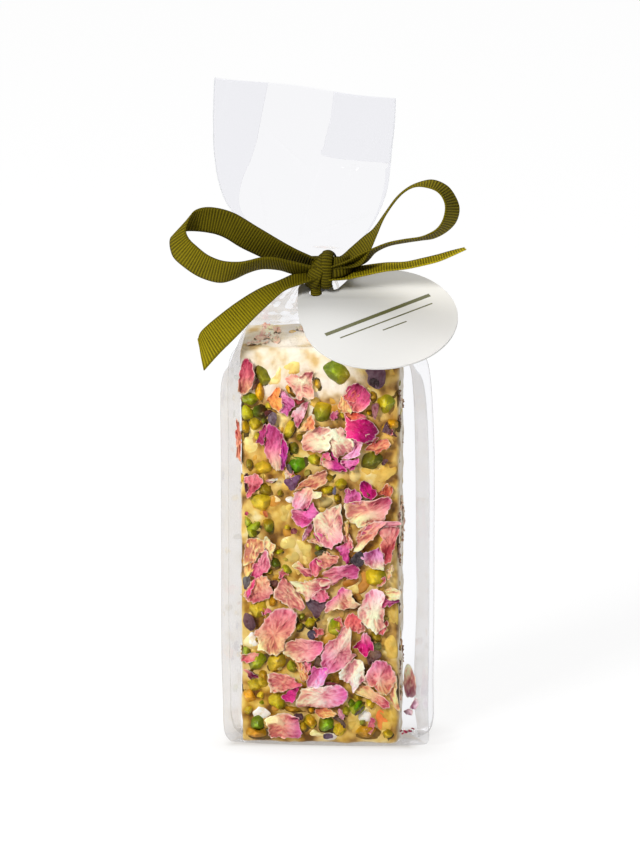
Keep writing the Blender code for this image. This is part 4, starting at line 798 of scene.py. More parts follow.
def add_piece(name, sheet, material, flat_angle=None):
    """A bmesh becomes an object with smooth shading."""
    mesh = bpy.data.meshes.new(name)
    sheet.to_mesh(mesh)
    sheet.free()
    item = link(bpy.data.objects.new(name, mesh))
    mesh.materials.append(material)
    mesh.shade_smooth()
    if flat_angle:
        flatten(item, flat_angle)
    return item


def bevel_edges(width, segments, profile):
    """Round all edges of the active object."""
    bpy.ops.object.mode_set(mode="EDIT")
    bpy.ops.mesh.select_all(action="SELECT")
    bpy.ops.mesh.bevel(offset=width * MM, segments=segments, profile=profile, affect="EDGES")
    bpy.ops.object.mode_set(mode="OBJECT")


def apply_modifier(item, kind, **settings):
    """Add a modifier, set it and apply it."""
    activate(item)
    modifier = item.modifiers.new(kind.title(), kind)
    for key, value in settings.items():
        setattr(modifier, key, value)
    bpy.ops.object.modifier_apply(modifier=modifier.name)


def thicken(item, thickness):
    """Give a thin piece its thickness, inwards from its face."""
    apply_modifier(item, "SOLIDIFY", thickness=thickness * MM, offset=-1.0)


def join(name, items):
    """Several objects become one with the given name."""
    activate(items[0])
    for item in items[1:]:
        item.select_set(True)
    bpy.ops.object.join()
    items[0].name = name
    items[0].data.name = name
    return items[0]


def settle(item, slot, *nodes):
    """Tie a finished piece to the body and hide the nodes it stands for. The slot is not used."""
    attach(item, BODY)
    if nodes:
        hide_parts(*nodes)


def new_sheet():
    """An empty mesh whose points can be painted."""
    sheet = bmesh.new()
    sheet.verts.layers.float_color.new("tint_and_shade")
    sheet.verts.layers.float.new("rim")
    sheet.loops.layers.uv.new("UVMap")
    return sheet


def step(low, high, value):
    """0 below low, 1 above high and smooth between."""
    t = min(max((value - low) / (high - low), 0.0), 1.0)
    return t * t * (3 - 2 * t)


def on_front(x, z, height):
    """A point that stands out from the front of the slice, kept behind the film."""
    depth = FACE_DEPTH + height
    if depth > TOPPING_LIMIT - SOFT_STOP:
        depth = TOPPING_LIMIT - SOFT_STOP * math.exp((TOPPING_LIMIT - SOFT_STOP - depth) / SOFT_STOP)
    return Vector((x, -depth, z)) * MM


def on_right_side(y, z, height):
    """A point that stands out from the right side of the slice."""
    return Vector((SLICE_RIGHT + height, y, z)) * MM


def on_left_side(y, z, height):
    """A point that stands out from the left side of the slice."""
    return Vector((SLICE_LEFT - height, -y, z)) * MM


def on_back(x, z, height):
    """A point that stands out from the back of the slice."""
    return Vector((-x, SLICE_BACK + height, z)) * MM


def top_rise(x, y):
    """How far the slice's upper end bulges towards its back."""
    return TOP_RISE * step(-9.0, 7.0, y) * (1 - 0.25 * (x / SLICE_HALF_WIDTH) ** 2)


def on_top(x, y, height):
    """A point that stands out from the upper end of the slice."""
    return Vector((x, y, SLICE_TOP + top_rise(x, y) + height)) * MM


def add_patch(sheet, outline, place, shape, fractions, codes, angle, closed):
    """A round-edged patch: rings from its middle out to its outline, each point at its own height, its
    colour multiplied by painted light and shade.
    """
    tint_and_shade = sheet.verts.layers.float_color["tint_and_shade"]
    rim = sheet.verts.layers.float["rim"]
    chart = sheet.loops.layers.uv["UVMap"]
    middle = sum(outline, Vector((0.0, 0.0))) / len(outline)
    reach = sum((point - middle).length for point in outline) / len(outline)
    run = Vector((math.cos(math.radians(angle)), math.sin(math.radians(angle))))
    across = Vector((-run.y, run.x))
    spread = [(point - middle).dot(run) for point in outline]
    low, high = min(spread), max(spread)
    marks = {}

    def put(point, fraction, turn):
        local = point - middle
        along = local.dot(run)
        side = local.dot(across)
        height, shade = shape(fraction, turn, along, side, reach)
        vert = sheet.verts.new(place(point.x, point.y, height))
        paint = colour_run(codes, (along - low) / (high - low))
        # The colour run times the painted light and shade that the shape gives
        vert[tint_and_shade] = (*[min(1.0, part * depth) for part, depth in zip(paint, shade)], 1.0)
        vert[rim] = fraction
        marks[vert] = ((side + middle.x) * MM, (along + middle.y) * MM)
        return vert

    centre = put(middle, 0.0, 0.0)
    rings = []
    for fraction in fractions:
        ring = []
        for index, corner in enumerate(outline):
            turn = 2 * math.pi * index / len(outline)
            ring.append(put(middle + (corner - middle) * fraction, fraction, turn))
        rings.append(ring)
    count = len(outline)
    faces = []
    for i in range(count):
        faces.append(sheet.faces.new((centre, rings[0][i], rings[0][(i + 1) % count])))
    for inner, outer in zip(rings, rings[1:]):
        for i in range(count):
            j = (i + 1) % count
            faces.append(sheet.faces.new((inner[i], outer[i], outer[j], inner[j])))
    if closed:
        faces.append(sheet.faces.new(rings[-1][::-1]))
    for face in faces:
        for loop in face.loops:
            loop[chart].uv = marks[loop.vert]


def petal_shape(level, curl, draw, crinkle=1.0):
    """How a dried petal stands: it is folded and wrinkled along its length and its rim curls. Its colour
    gets painted shade in folds, creases and a band inside the rim, and painted light on ridges and curled
    rims.
    """
    turns = draw.choice((1, 2, 2, 3))
    phase = draw.uniform(0, 2 * math.pi)
    ruffle = draw.uniform(0, 2 * math.pi)
    lip_turns = draw.choice((1, 2, 3))
    seed = draw.uniform(0, 500)

    def shape(fraction, turn, along, side, reach):
        fold = noise.noise(Vector((side * 0.36, along * 0.13, seed)))
        wrinkle = noise.noise(Vector((side * 0.95, along * 0.36, seed + 31)))
        crease = noise.noise(Vector((side * 2.1, along * 1.0, seed + 57)))
        ridge = 0.35 - abs(wrinkle) * 1.6
        edge = curl * fraction ** 2 * (0.75 + 0.5 * math.sin(turns * turn + phase))
        edge -= 0.9 * crinkle * fraction ** 3 * step(0.1, 0.9, math.sin(turn + phase))
        frill = 0.4 * fraction ** 4 * math.sin(8 * turn + ruffle + 2 * math.sin(2 * turn + phase))
        curled = step(0.76, 1.0, fraction) * max(0.0, math.sin(lip_turns * turn + ruffle))
        height = level + edge + frill + crinkle * (0.9 * curled + 1.35 * fold + 0.8 * ridge + 0.4 * crease)
        # Painted shade and light: a darker band inside the rim, darker folds and creases, lighter ridges and
        # curls
        shaded_band = step(0.62, 0.8, fraction) * (1 - step(0.84, 0.94, fraction))
        play = 1.2 * fold + 0.7 * ridge + 0.65 * crease + 0.35 * curled - 0.2 * shaded_band
        light = min(1.0, max(0.0, 0.62 + play * (0.35 + 0.65 * min(1.0, crinkle))))
        shade = [dark + (pale - dark) * light for dark, pale in ((0.75, 1.48), (0.33, 1.52), (0.46, 1.36))]
        return height, shade

    return shape


def chunk_shape(rise, draw):
    """A chopped nut: a tilted top and flat cut sides that sink into the nougat. Each cut face gets its own
    painted brightness and higher parts are painted lighter: painted light and shade.
    """
    start = draw.uniform(0, 2 * math.pi)
    count = draw.choice((4, 5, 5, 6))
    cuts = []
    for i in range(count):
        a = start + 2 * math.pi * (i + draw.uniform(-0.25, 0.25)) / count
        cuts.append((math.cos(a), math.sin(a), draw.uniform(1.05, 1.5), draw.uniform(1.1, 1.7),
                     draw.uniform(0.7, 1.12)))
    lean_x, lean_z = draw.uniform(-0.35, 0.35), draw.uniform(-0.35, 0.35)
    seed = draw.uniform(0, 500)

    def shape(fraction, turn, along, side, reach):
        x, z = side / reach, along / reach
        height = rise * (1 + lean_x * x + lean_z * z)
        painted_light = 1.08
        for way_x, way_z, start_height, slope, face_light in cuts:
            cut = rise * (start_height - slope * (x * way_x + z * way_z))
            if cut < height:
                height, painted_light = cut, face_light
        spot = noise.noise(Vector((side * 0.8, along * 0.8, seed)))
        # Painted light and shade: brightness set per cut face and rising with height, plus uneven tone
        light = painted_light * (0.78 + 0.42 * min(1.0, max(0.0, height / rise)) + 0.4 * spot)
        return height + 0.14 * spot - 0.9 * fraction ** 7, (light * 1.1, light * 0.9, light * 0.18)

    return shape


def lump_shape(rise, draw, blue=0.54):
    """A soft lump of nougat: a low dome with an uneven top, whiter with more blue, and painted lighter
    towards its middle.
    """
    seed = draw.uniform(0, 500)

    def shape(fraction, turn, along, side, reach):
        uneven = noise.noise(Vector((side * 0.55, along * 0.55, seed)))
        # Painted light: lighter towards the middle of the dome, with uneven tone
        light = 0.92 + 0.14 * (1 - fraction ** 2) + 0.3 * uneven
        height = rise * (1 - fraction ** 2.4) + 0.3 * uneven - 0.35 * fraction ** 4
        return height, (light * 1.04, light * 0.95, light * blue)

    return shape


def pairs(values):
    """x, z, x, z becomes points."""
    return [(values[i], values[i + 1]) for i in range(0, len(values), 2)]


def straight_loop(points, steps, round_off=0.22):
    """A closed outline with straight edges and slightly cut corners."""
    points = [Vector(point) for point in points]
    outline = []
    for i, corner in enumerate(points):
        before, after = points[i - 1], points[(i + 1) % len(points)]
        outline.append(corner.lerp(before, round_off))
        outline.append(corner.lerp(after, round_off))
    return [outline[i].lerp(outline[(i + 1) % len(outline)], k / steps)
            for i in range(len(outline)) for k in range(steps)]


def grown(outline, size, shift=(0.0, 0.0)):
    """The outline, larger and moved, but kept on the front of the slice."""
    points = [Vector(point) for point in outline]
    middle = sum(points, Vector((0.0, 0.0))) / len(points)
    points = [middle + Vector(shift) + (point - middle) * size for point in points]
    left, right = SLICE_LEFT + 0.2, SLICE_RIGHT + 0.1
    return [Vector((min(max(point.x, left), right), max(point.y, LOWEST_TOPPING))) for point in points]


def blob_outline(middle, width, height, turn, draw, count=8):
    """An uneven round outline."""
    outline = []
    for i in range(count):
        a = 2 * math.pi * i / count
        reach = draw.uniform(0.78, 1.12)
        x, z = width / 2 * reach * math.cos(a), height / 2 * reach * math.sin(a)
        outline.append((middle[0] + x * math.cos(turn) - z * math.sin(turn),
                        middle[1] + x * math.sin(turn) + z * math.cos(turn)))
    return outline


def ragged(outline, draw, reach=0.6):
    """The outline with small uneven steps, as the torn edge of a dried petal."""
    seed = draw.uniform(0, 500)
    middle = sum(outline, Vector((0.0, 0.0))) / len(outline)
    torn = []
    for point in outline:
        push = noise.noise(Vector((point.x * 1.1, point.y * 1.1, seed)))
        push += 0.6 * noise.noise(Vector((point.x * 2.8, point.y * 2.8, seed)))
        torn.append(point + (point - middle).normalized() * push * reach)
    return torn


# Where the rings of points lie in a patch, as shares of the way from its middle to its outline
PETAL_RINGS = (0.14, 0.28, 0.42, 0.55, 0.67, 0.78, 0.88, 0.95, 1.0)
CHUNK_RINGS = (0.3, 0.5, 0.66, 0.8, 0.92, 1.0)
LUMP_RINGS = (0.3, 0.6, 0.85, 1.0)

# What film that is seen square on reflects, taken off so that it does not veil the slice
SQUARE_ON_GLARE = 0.042
# Painted contact shadow on the floor, in metres
SHADOW_HALF_WIDTH = 0.027
SHADOW_HALF_DEPTH = 0.011
SHADOW_REACH = 0.028


def petal_finish():
    """Dried rose petal: painted colour with fine veins along it and paler edges, partly their own colour and
    partly a painted rim highlight.
    """
    finish = Finish("dried_petal")
    place = finish.place()
    u, v, _ = finish.axes(finish.chart())
    sway = finish.grain(place, 500.0) * 0.0012
    stretched = finish.node("ShaderNodeCombineXYZ", {}, {"X": u + sway, "Y": v * 0.5 + sway})
    veins = finish.grain(stretched, 1700.0, 4.0, 0.7)
    fine = finish.grain(place, 3000.0, 2.0, 0.6)
    rim = finish.attribute("rim")
    paint = finish.attribute("tint_and_shade", "Color")
    deep = finish.mix(veins.band(0.46, 0.28) * 0.45, paint, (0.88, 0.42, 0.62, 1.0), "MULTIPLY")
    pale = finish.mix(veins.band(0.56, 0.72) * 0.3, deep, (1.0, 0.88, 0.78, 1.0))
    # Paler rim: partly the dried edge's own colour, partly a painted highlight
    pale_and_lit_rim = finish.mix(rim.band(0.92, 0.99) * 0.6, pale, (1.0, 0.86, 0.7, 1.0))
    normal = finish.bump(veins + fine * 0.4, 0.0006, 0.9)
    return finish.finished(Base_Color=pale_and_lit_rim, Roughness=0.6, Normal=normal, Specular_IOR_Level=0.2)


def nut_finish():
    """Pistachio: painted colour, a little mottled, with a faint waxy gloss."""
    finish = Finish("pistachio")
    mottle = finish.grain(finish.place(), 700.0, 3.0, 0.6)
    paint = finish.attribute("tint_and_shade", "Color")
    deep = finish.mix(mottle.band(0.48, 0.3) * 0.6, paint, (0.5, 0.5, 0.25, 1.0), "MULTIPLY")
    pale = finish.mix(mottle.band(0.55, 0.75) * 0.3, deep, (0.85, 0.8, 0.25, 1.0))
    normal = finish.bump(mottle, 0.0004, 0.6)
    return finish.finished(Base_Color=pale, Roughness=mottle * 0.3 + 0.25, Normal=normal)


def skin_finish():
    """Dark nut skin: leathery, with a dull sheen."""
    finish = Finish("nut_skin")
    wrinkle = finish.grain(finish.place(), 1500.0, 3.0, 0.6)
    paint = finish.attribute("tint_and_shade", "Color")
    worn = finish.mix(wrinkle.band(0.45, 0.8) * 0.4, paint, (0.32, 0.22, 0.24, 1.0))
    return finish.finished(Base_Color=worn, Roughness=0.5, Normal=finish.bump(wrinkle, 0.0003, 0.7))


def lump_finish():
    """Translucent lumps of nougat and fruit with a sugary gloss, also used for the painted shadow patches
    under nuts and petals.
    """
    finish = Finish("nougat_lump_and_shadow")
    cloud = finish.grain(finish.place(), 500.0, 3.0, 0.55)
    paint = finish.attribute("tint_and_shade", "Color")
    clouded = finish.mix(cloud.band(0.5, 0.3) * 0.6, paint, (0.82, 0.66, 0.34, 1.0), "MULTIPLY")
    normal = finish.bump(cloud, 0.0004, 0.5)
    return finish.finished(Base_Color=clouded, Roughness=0.3, Normal=normal, Specular_IOR_Level=0.35)


def nougat_finish():
    """Nougat: amber and translucent below, creamy towards the top and on its cut sides."""
    finish = Finish("nougat")
    place = finish.place()
    x, y, z = finish.axes(place)
    lumps = finish.grain(place, 170.0)
    fine = finish.grain(place, 900.0, 3.0, 0.6)
    amber = finish.ramp(lumps, (0.34, "6e460a"), (0.43, "af7d19"), (0.52, "d7ab32"), (0.62, "ebc855"),
                        (0.74, "faeba0"))
    cream = finish.ramp(lumps, (0.3, "d4b274"), (0.42, "e8d8b6"), (0.52, "f0e4ce"), (0.75, "f5ecdd"))
    high = (z + lumps * 0.03).band(0.118, 0.13) * (x + lumps * 0.01).band(0.021, 0.014)
    behind = (y + lumps * 0.002).band(-0.0108, -0.0075)
    colour = finish.mix(high.maths("MAXIMUM", behind), amber, cream)
    speckled = finish.mix(fine.band(0.6, 0.8) * 0.25, colour, (0.55, 0.38, 0.2, 1.0))
    normal = finish.bump(lumps * 2.0 + fine, 0.0006, 0.6)
    return finish.finished(Base_Color=speckled, Roughness=0.42, Normal=normal, Specular_IOR_Level=0.25)


def film_finish(look):
    """Clear cellophane: nearly all light goes through, and folds and glancing faces shine."""
    finish = Finish("clear_film")
    place = finish.place()
    fold = finish.attribute("fold")
    normal = finish.bump(finish.grain(place, 260.0), 0.0004, 0.25)
    glance = finish.node("ShaderNodeFresnel", {}, {"IOR": 1.5, "Normal": normal})
    _, _, z = finish.axes(place)
    flared = z.band(0.15, 0.156)
    glare = ((glance - SQUARE_ON_GLARE) * 0.44).clipped()
    shine = glare.maths("MINIMUM", 1.0 - flared * 0.88)
    share = (shine + fold * 0.09 + look.film_haze).clipped()
    clear = finish.node("ShaderNodeBsdfTransparent", {}, {"Color": (*look.film_tint, 1.0)})
    skin = finish.surface(Base_Color=(0.93, 0.94, 0.96, 1.0), Roughness=0.12, Metallic=0.45, Normal=normal)
    return finish.finished(finish.node("ShaderNodeMixShader", {}, {0: share, 1: clear, 2: skin}))


def ribbon_finish(look):
    """Grosgrain: fine ribs across the ribbon, painted dark in their valleys and light on their crests, a
    woven edge, painted light and shade along the ribbon, and a soft sheen.
    """
    finish = Finish("olive_grosgrain")
    along, across, _ = finish.axes(finish.chart())
    place = finish.place()

    def shade(depth):
        return (*[min(1.0, part * depth) for part in look.ribbon_colour], 1.0)

    rib = (along * (2 * math.pi / look.rib_spacing)).maths("SINE") * 0.5 + 0.5
    edge = (across - 0.5).maths("ABSOLUTE").band(0.44, 0.49)
    thread = finish.grain(place, 3500.0, 2.0, 0.6)
    broad = finish.grain(place, 120.0)
    # Painted shade and light on the ribs: dark in the valleys, light on the crests
    rib_shaded = finish.mix(rib * 0.7 + thread.band(0.3, 0.7) * 0.3, shade(0.2), shade(1.7))
    worn = finish.mix(broad.band(0.35, 0.75) * 0.25, rib_shaded, shade(1.4))
    woven = finish.mix(edge * 0.5, worn, shade(0.7))
    # Painted light and shade along the ribbon multiply its colour
    lit_and_shaded = finish.mix(1.0, woven, finish.attribute("painted_light"), "MULTIPLY")
    normal = finish.bump(rib * (1 - edge) + thread * 0.3, 0.0003, 0.6)
    return finish.finished(Base_Color=lit_and_shaded, Roughness=0.7, Normal=normal, Specular_IOR_Level=0.05)


def card_finish():
    """Uncoated white card with a faint paper tooth, and painted shade: darker on its left, near the knot,
    and lighter towards its right.
    """
    finish = Finish("white_card_paper")
    place = finish.place()
    tooth = finish.grain(place, 2200.0, 4.0, 0.6)
    cloud = finish.grain(place, 90.0)
    x, _, _ = finish.axes(place)
    # Painted light and shade: the card is painted lighter from left to right
    lit = x.band(0.008, 0.042) * 0.9 + tooth * 0.05 + cloud * 0.05
    shade = finish.ramp(lit, (0.0, "c4c3c0"), (1.0, "dddbd7"))
    return finish.finished(Base_Color=shade, Roughness=0.58, Normal=finish.bump(tooth, 0.00008, 0.6))


def ink_finish():
    """Dark olive printing ink."""
    finish = Finish("olive_ink")
    tooth = finish.grain(finish.place(), 2400.0, 3.0, 0.6)
    return finish.finished(Base_Color=finish.ramp(tooth, (0.3, "4a4a22"), (0.7, "5f5f34")), Roughness=0.55)


def floor_finish(glow):
    """A white studio floor that glows a little, more so far away, so that only the contact shadow shows, and
    that shadow is painted round the bag's foot.
    """
    finish = Finish("studio_floor")
    x, y, _ = finish.axes(finish.place())
    away = (x * x + y * y) ** 0.5
    shine = finish.ramp(away.band(0.1, 1.6), (0.0, "f0f0f0"), (1.0, "fcfcfc"))
    beside = (x.maths("ABSOLUTE") - SHADOW_HALF_WIDTH).maths("MAXIMUM", 0.0)
    before = (y.maths("ABSOLUTE") - SHADOW_HALF_DEPTH).maths("MAXIMUM", 0.0)
    gap = (beside * beside + before * before) ** 0.5
    near = (gap / SHADOW_REACH).clipped() ** 0.6
    # Painted contact shadow: floor colour and glow darkened near the bag's foot
    painted_contact_shadow = finish.ramp(near, (0.0, "d9d5d1"), (0.3, "f7f6f5"), (0.7, "ffffff"))
    glow_colour = finish.mix(1.0, shine, painted_contact_shadow, "MULTIPLY")
    ground = finish.mix(1.0, (0.2, 0.2, 0.2, 1.0), painted_contact_shadow, "MULTIPLY")
    return finish.finished(Base_Color=ground, Roughness=0.9, Specular_IOR_Level=0.0,
                           Emission_Color=glow_colour, Emission_Strength=glow)


class NougatLook(bpy.types.PropertyGroup):
    """Sizes, colours and light that a user would change."""

    crumb_count: IntProperty(name="Crumbs", description="Loose nut crumbs between the large pieces",
                             default=44, min=0, max=400)
    film_haze: FloatProperty(name="Film haze", description="Milkiness of the clear film",
                             default=0.0, min=0.0, max=0.5, subtype="FACTOR")
    film_tint: FloatVectorProperty(name="Film tint", description="Light that one layer of film lets through",
                                   default=(0.965, 0.965, 0.974), min=0.0, max=1.0, size=3, subtype="COLOR")
    ribbon_colour: FloatVectorProperty(name="Ribbon colour", description="Main colour of the ribbon",
                                       default=(0.142, 0.113, 0.003), min=0.0, max=1.0, size=3,
                                       subtype="COLOR")
    ribbon_thickness: FloatProperty(name="Ribbon thickness", description="Thickness of the grosgrain",
                                    default=0.45 * MM, min=0.0001, max=0.002, unit="LENGTH")
    rib_spacing: FloatProperty(name="Rib spacing", description="Distance between two ribs of the ribbon",
                               default=0.85 * MM, min=0.0002, max=0.003, unit="LENGTH")
    floor_glow: FloatProperty(name="Floor glow", description="Light that the white floor gives by itself",
                              default=0.935, min=0.0, max=2.0)
    world_light: FloatProperty(name="World light", description="Even light from all round",
                               default=0.18, min=0.0, max=3.0)
    camera_distance: FloatProperty(name="Camera distance", description="Distance from the lens to the slice",
                                   default=2.6, min=0.5, max=5.0, unit="LENGTH")


def slice_core(material):
    """The nougat itself, a soft-cornered bar with an uneven surface."""
    size = Vector((SLICE_RIGHT - SLICE_LEFT, FACE_DEPTH + SLICE_BACK, SLICE_TOP - SLICE_FOOT)) * MM
    middle = Vector(((SLICE_RIGHT + SLICE_LEFT) / 2, (SLICE_BACK - FACE_DEPTH) / 2,
                     (SLICE_TOP + SLICE_FOOT) / 2)) * MM
    deselect()
    bpy.ops.mesh.primitive_cube_add(size=1.0, location=middle, scale=size)
    item = bpy.context.active_object
    item.name = "nougat_bar"
    bpy.ops.object.transform_apply(location=True, rotation=True, scale=True)
    bevel_edges(SLICE_ROUNDING, 3, 0.6)
    apply_modifier(item, "REMESH", mode="VOXEL", voxel_size=SLICE_GRID * MM, adaptivity=0.0)
    for vert in item.data.vertices:
        spot = vert.co / MM
        uneven = 0.55 * noise.noise(spot * 0.12) + 0.4 * noise.noise(spot * 0.34)
        uneven += 0.14 * noise.noise(spot * 0.9)
        vert.co += vert.normal * uneven * 0.8 * MM
        vert.co.z += top_rise(spot.x, spot.y) * step(100, 124, spot.z) * MM
    item.data.materials.clear()
    item.data.materials.append(material)
    item.data.shade_smooth()
    return item


# More nuts: middle as x and z, width, height and colours
MORE_NUTS = (
    (-18.8, 20.2, 7.6, 6.0, "aaa03c d2c35a"), (-3.4, 7.6, 4.6, 6.6, "b4aa32 d7cd5a"),
    (5.9, 5.0, 6.0, 6.2, "c3b937 e1d764"), (11.1, 12.3, 7.6, 7.6, "6e8c23 a5b446"),
    (4.3, 37.2, 5.8, 6.8, "96aa46 c8d282"), (20.2, 107.9, 7.2, 8.0, "a5aa3c c8c86e"),
    (20.8, 100.7, 5.4, 6.6, "5a4614 d2aa28"), (-20.4, 101.5, 4.4, 5.2, "968c1e c8be46"),
    (-15.4, 93.0, 5.0, 4.4, "d2c878 e6dca0"), (-9.0, 6.0, 4.6, 4.2, "c8b946 dccd64"),
)
# White lumps of nougat: middle as x and z, width and height
WHITE_LUMPS = ((-18.6, 10.0, 9.0, 5.4), (13.4, 9.6, 6.6, 5.0), (2.6, 2.8, 5.0, 2.6),
               (-21.0, 33.5, 5.0, 5.4), (-9.5, 78.0, 3.4, 2.8))

# Colours of the random pieces, each a run of colour codes
PALE_PETALS = ("faebd7 f5d2b9", "f5dcb9 f0c8a0", "f5d7be ebbeaa", "faebd2 f5d2b4")
TORN_PETALS = ("f5cdaa e691a5", "eb9b8c d75f96", "f0be8c f5d7aa", "d2509b a52378", "f0aa96 e16e82")
GREENS = ("96a02d beb946", "aa9b32 cdb950", "d7be5a be9632", "788219 a5a52d", "827828 aa9637",
          "b4782d d7a546", "dcc86e e1cd82")
BROWNS = ("82645a 967364", "6e5a46 82695a", "8c6e50 a5825f")
# Dark olive-brown patches painted under nuts and petals as their shadows
SHADOW_PATCHES = ("4b3c0f 6e5519", "5f460f 82641e", "3c370f 5a4b14")
AMBERS = ("e6cd7d d2aa5a", "dcb45a c3913c", "ebdc9b dcc373", "d2a046 b9823c", "f5ebbe e6d291")
CREAMS = ("faf5e6 f0e6c8", "f5ebd2 ebdcb4")

# Fields of random pieces: the side they lie on, its low and high corner, and how many
PETAL_FIELDS = ((on_top, (-21, -7), (21, 7), 20), (on_right_side, (-8, 6), (9, 118), 4),
                (on_left_side, (-7, 6), (9, 118), 4))
TORN_FIELD = (on_front, (-22.5, 4), (22.5, 108), 22)
NUT_FIELDS = ((on_right_side, (-9, 4), (9, 121), 40), (on_left_side, (-9, 4), (10, 121), 40),
              (on_back, (-22, 4), (22, 121), 60), (on_top, (-22, -10), (22, 9), 7))
SKIN_FIELDS = ((on_right_side, (-10.5, 6), (-8.5, 118), 9), (on_right_side, (-8, 6), (9, 118), 8),
               (on_left_side, (-9, 6), (9, 118), 12), (on_back, (-20, 6), (20, 118), 16))
LUMP_FIELD = (on_front, (-22.5, 3.5), (22.5, 122), 90)
CRUMB_WIDTHS = (-23, 23)
CRUMB_HEIGHTS = (2.5, 98)
CRUMB_SIZES = (0.7, 1.5)
CRUMB_SHAPES = 5
CRUMB_CUTS = 6
TOPPING_SEED = 41
LOOSE_SEED = 7
# Lumps above and left of these are cream, and the others amber
CREAM_ABOVE = 110
CREAM_LEFT_OF = 10

# Nuts are larger and stand higher than their part that shows above the nougat
NUT_GROWTH = 1.2
NUT_RISE = 1.1
SKIN_RISE = 0.8
PETAL_THICKNESS = 0.16
SKIN_THICKNESS = 0.22
# Points between two corners of an outline
PETAL_STEPS = 5
SMALL_STEPS = 3
TINY_STEPS = 2
# Angle in degrees from which an edge stays sharp
NUT_EDGE_ANGLE = 20
TAG_EDGE_ANGLE = 30


def scatter(draw, *fields):
    """A side and a random middle on it for each piece of each field."""
    for side, low, high, count in fields:
        for _ in range(count):
            yield side, (draw.uniform(low[0], high[0]), draw.uniform(low[1], high[1]))


def random_blob(draw, middle, widths, heights, turns=(0, 3)):
    """An uneven round outline of random size."""
    return blob_outline(middle, draw.uniform(*widths), draw.uniform(*heights), draw.uniform(*turns), draw)


def add_petal(sheet, outline, place, shape, codes, angle, rings=PETAL_RINGS):
    """A thin patch that stays open behind."""
    add_patch(sheet, outline, place, shape, rings, codes, angle, False)


def add_nut(sheet, outline, place, shape, codes, angle):
    """A chopped nut, closed behind."""
    add_patch(sheet, outline, place, shape, CHUNK_RINGS, codes, angle, True)


def add_lump(sheet, outline, shape, codes):
    """A lump on the front of the slice, its colours from its top down."""
    add_patch(sheet, outline, on_front, shape, LUMP_RINGS, codes, -90, True)


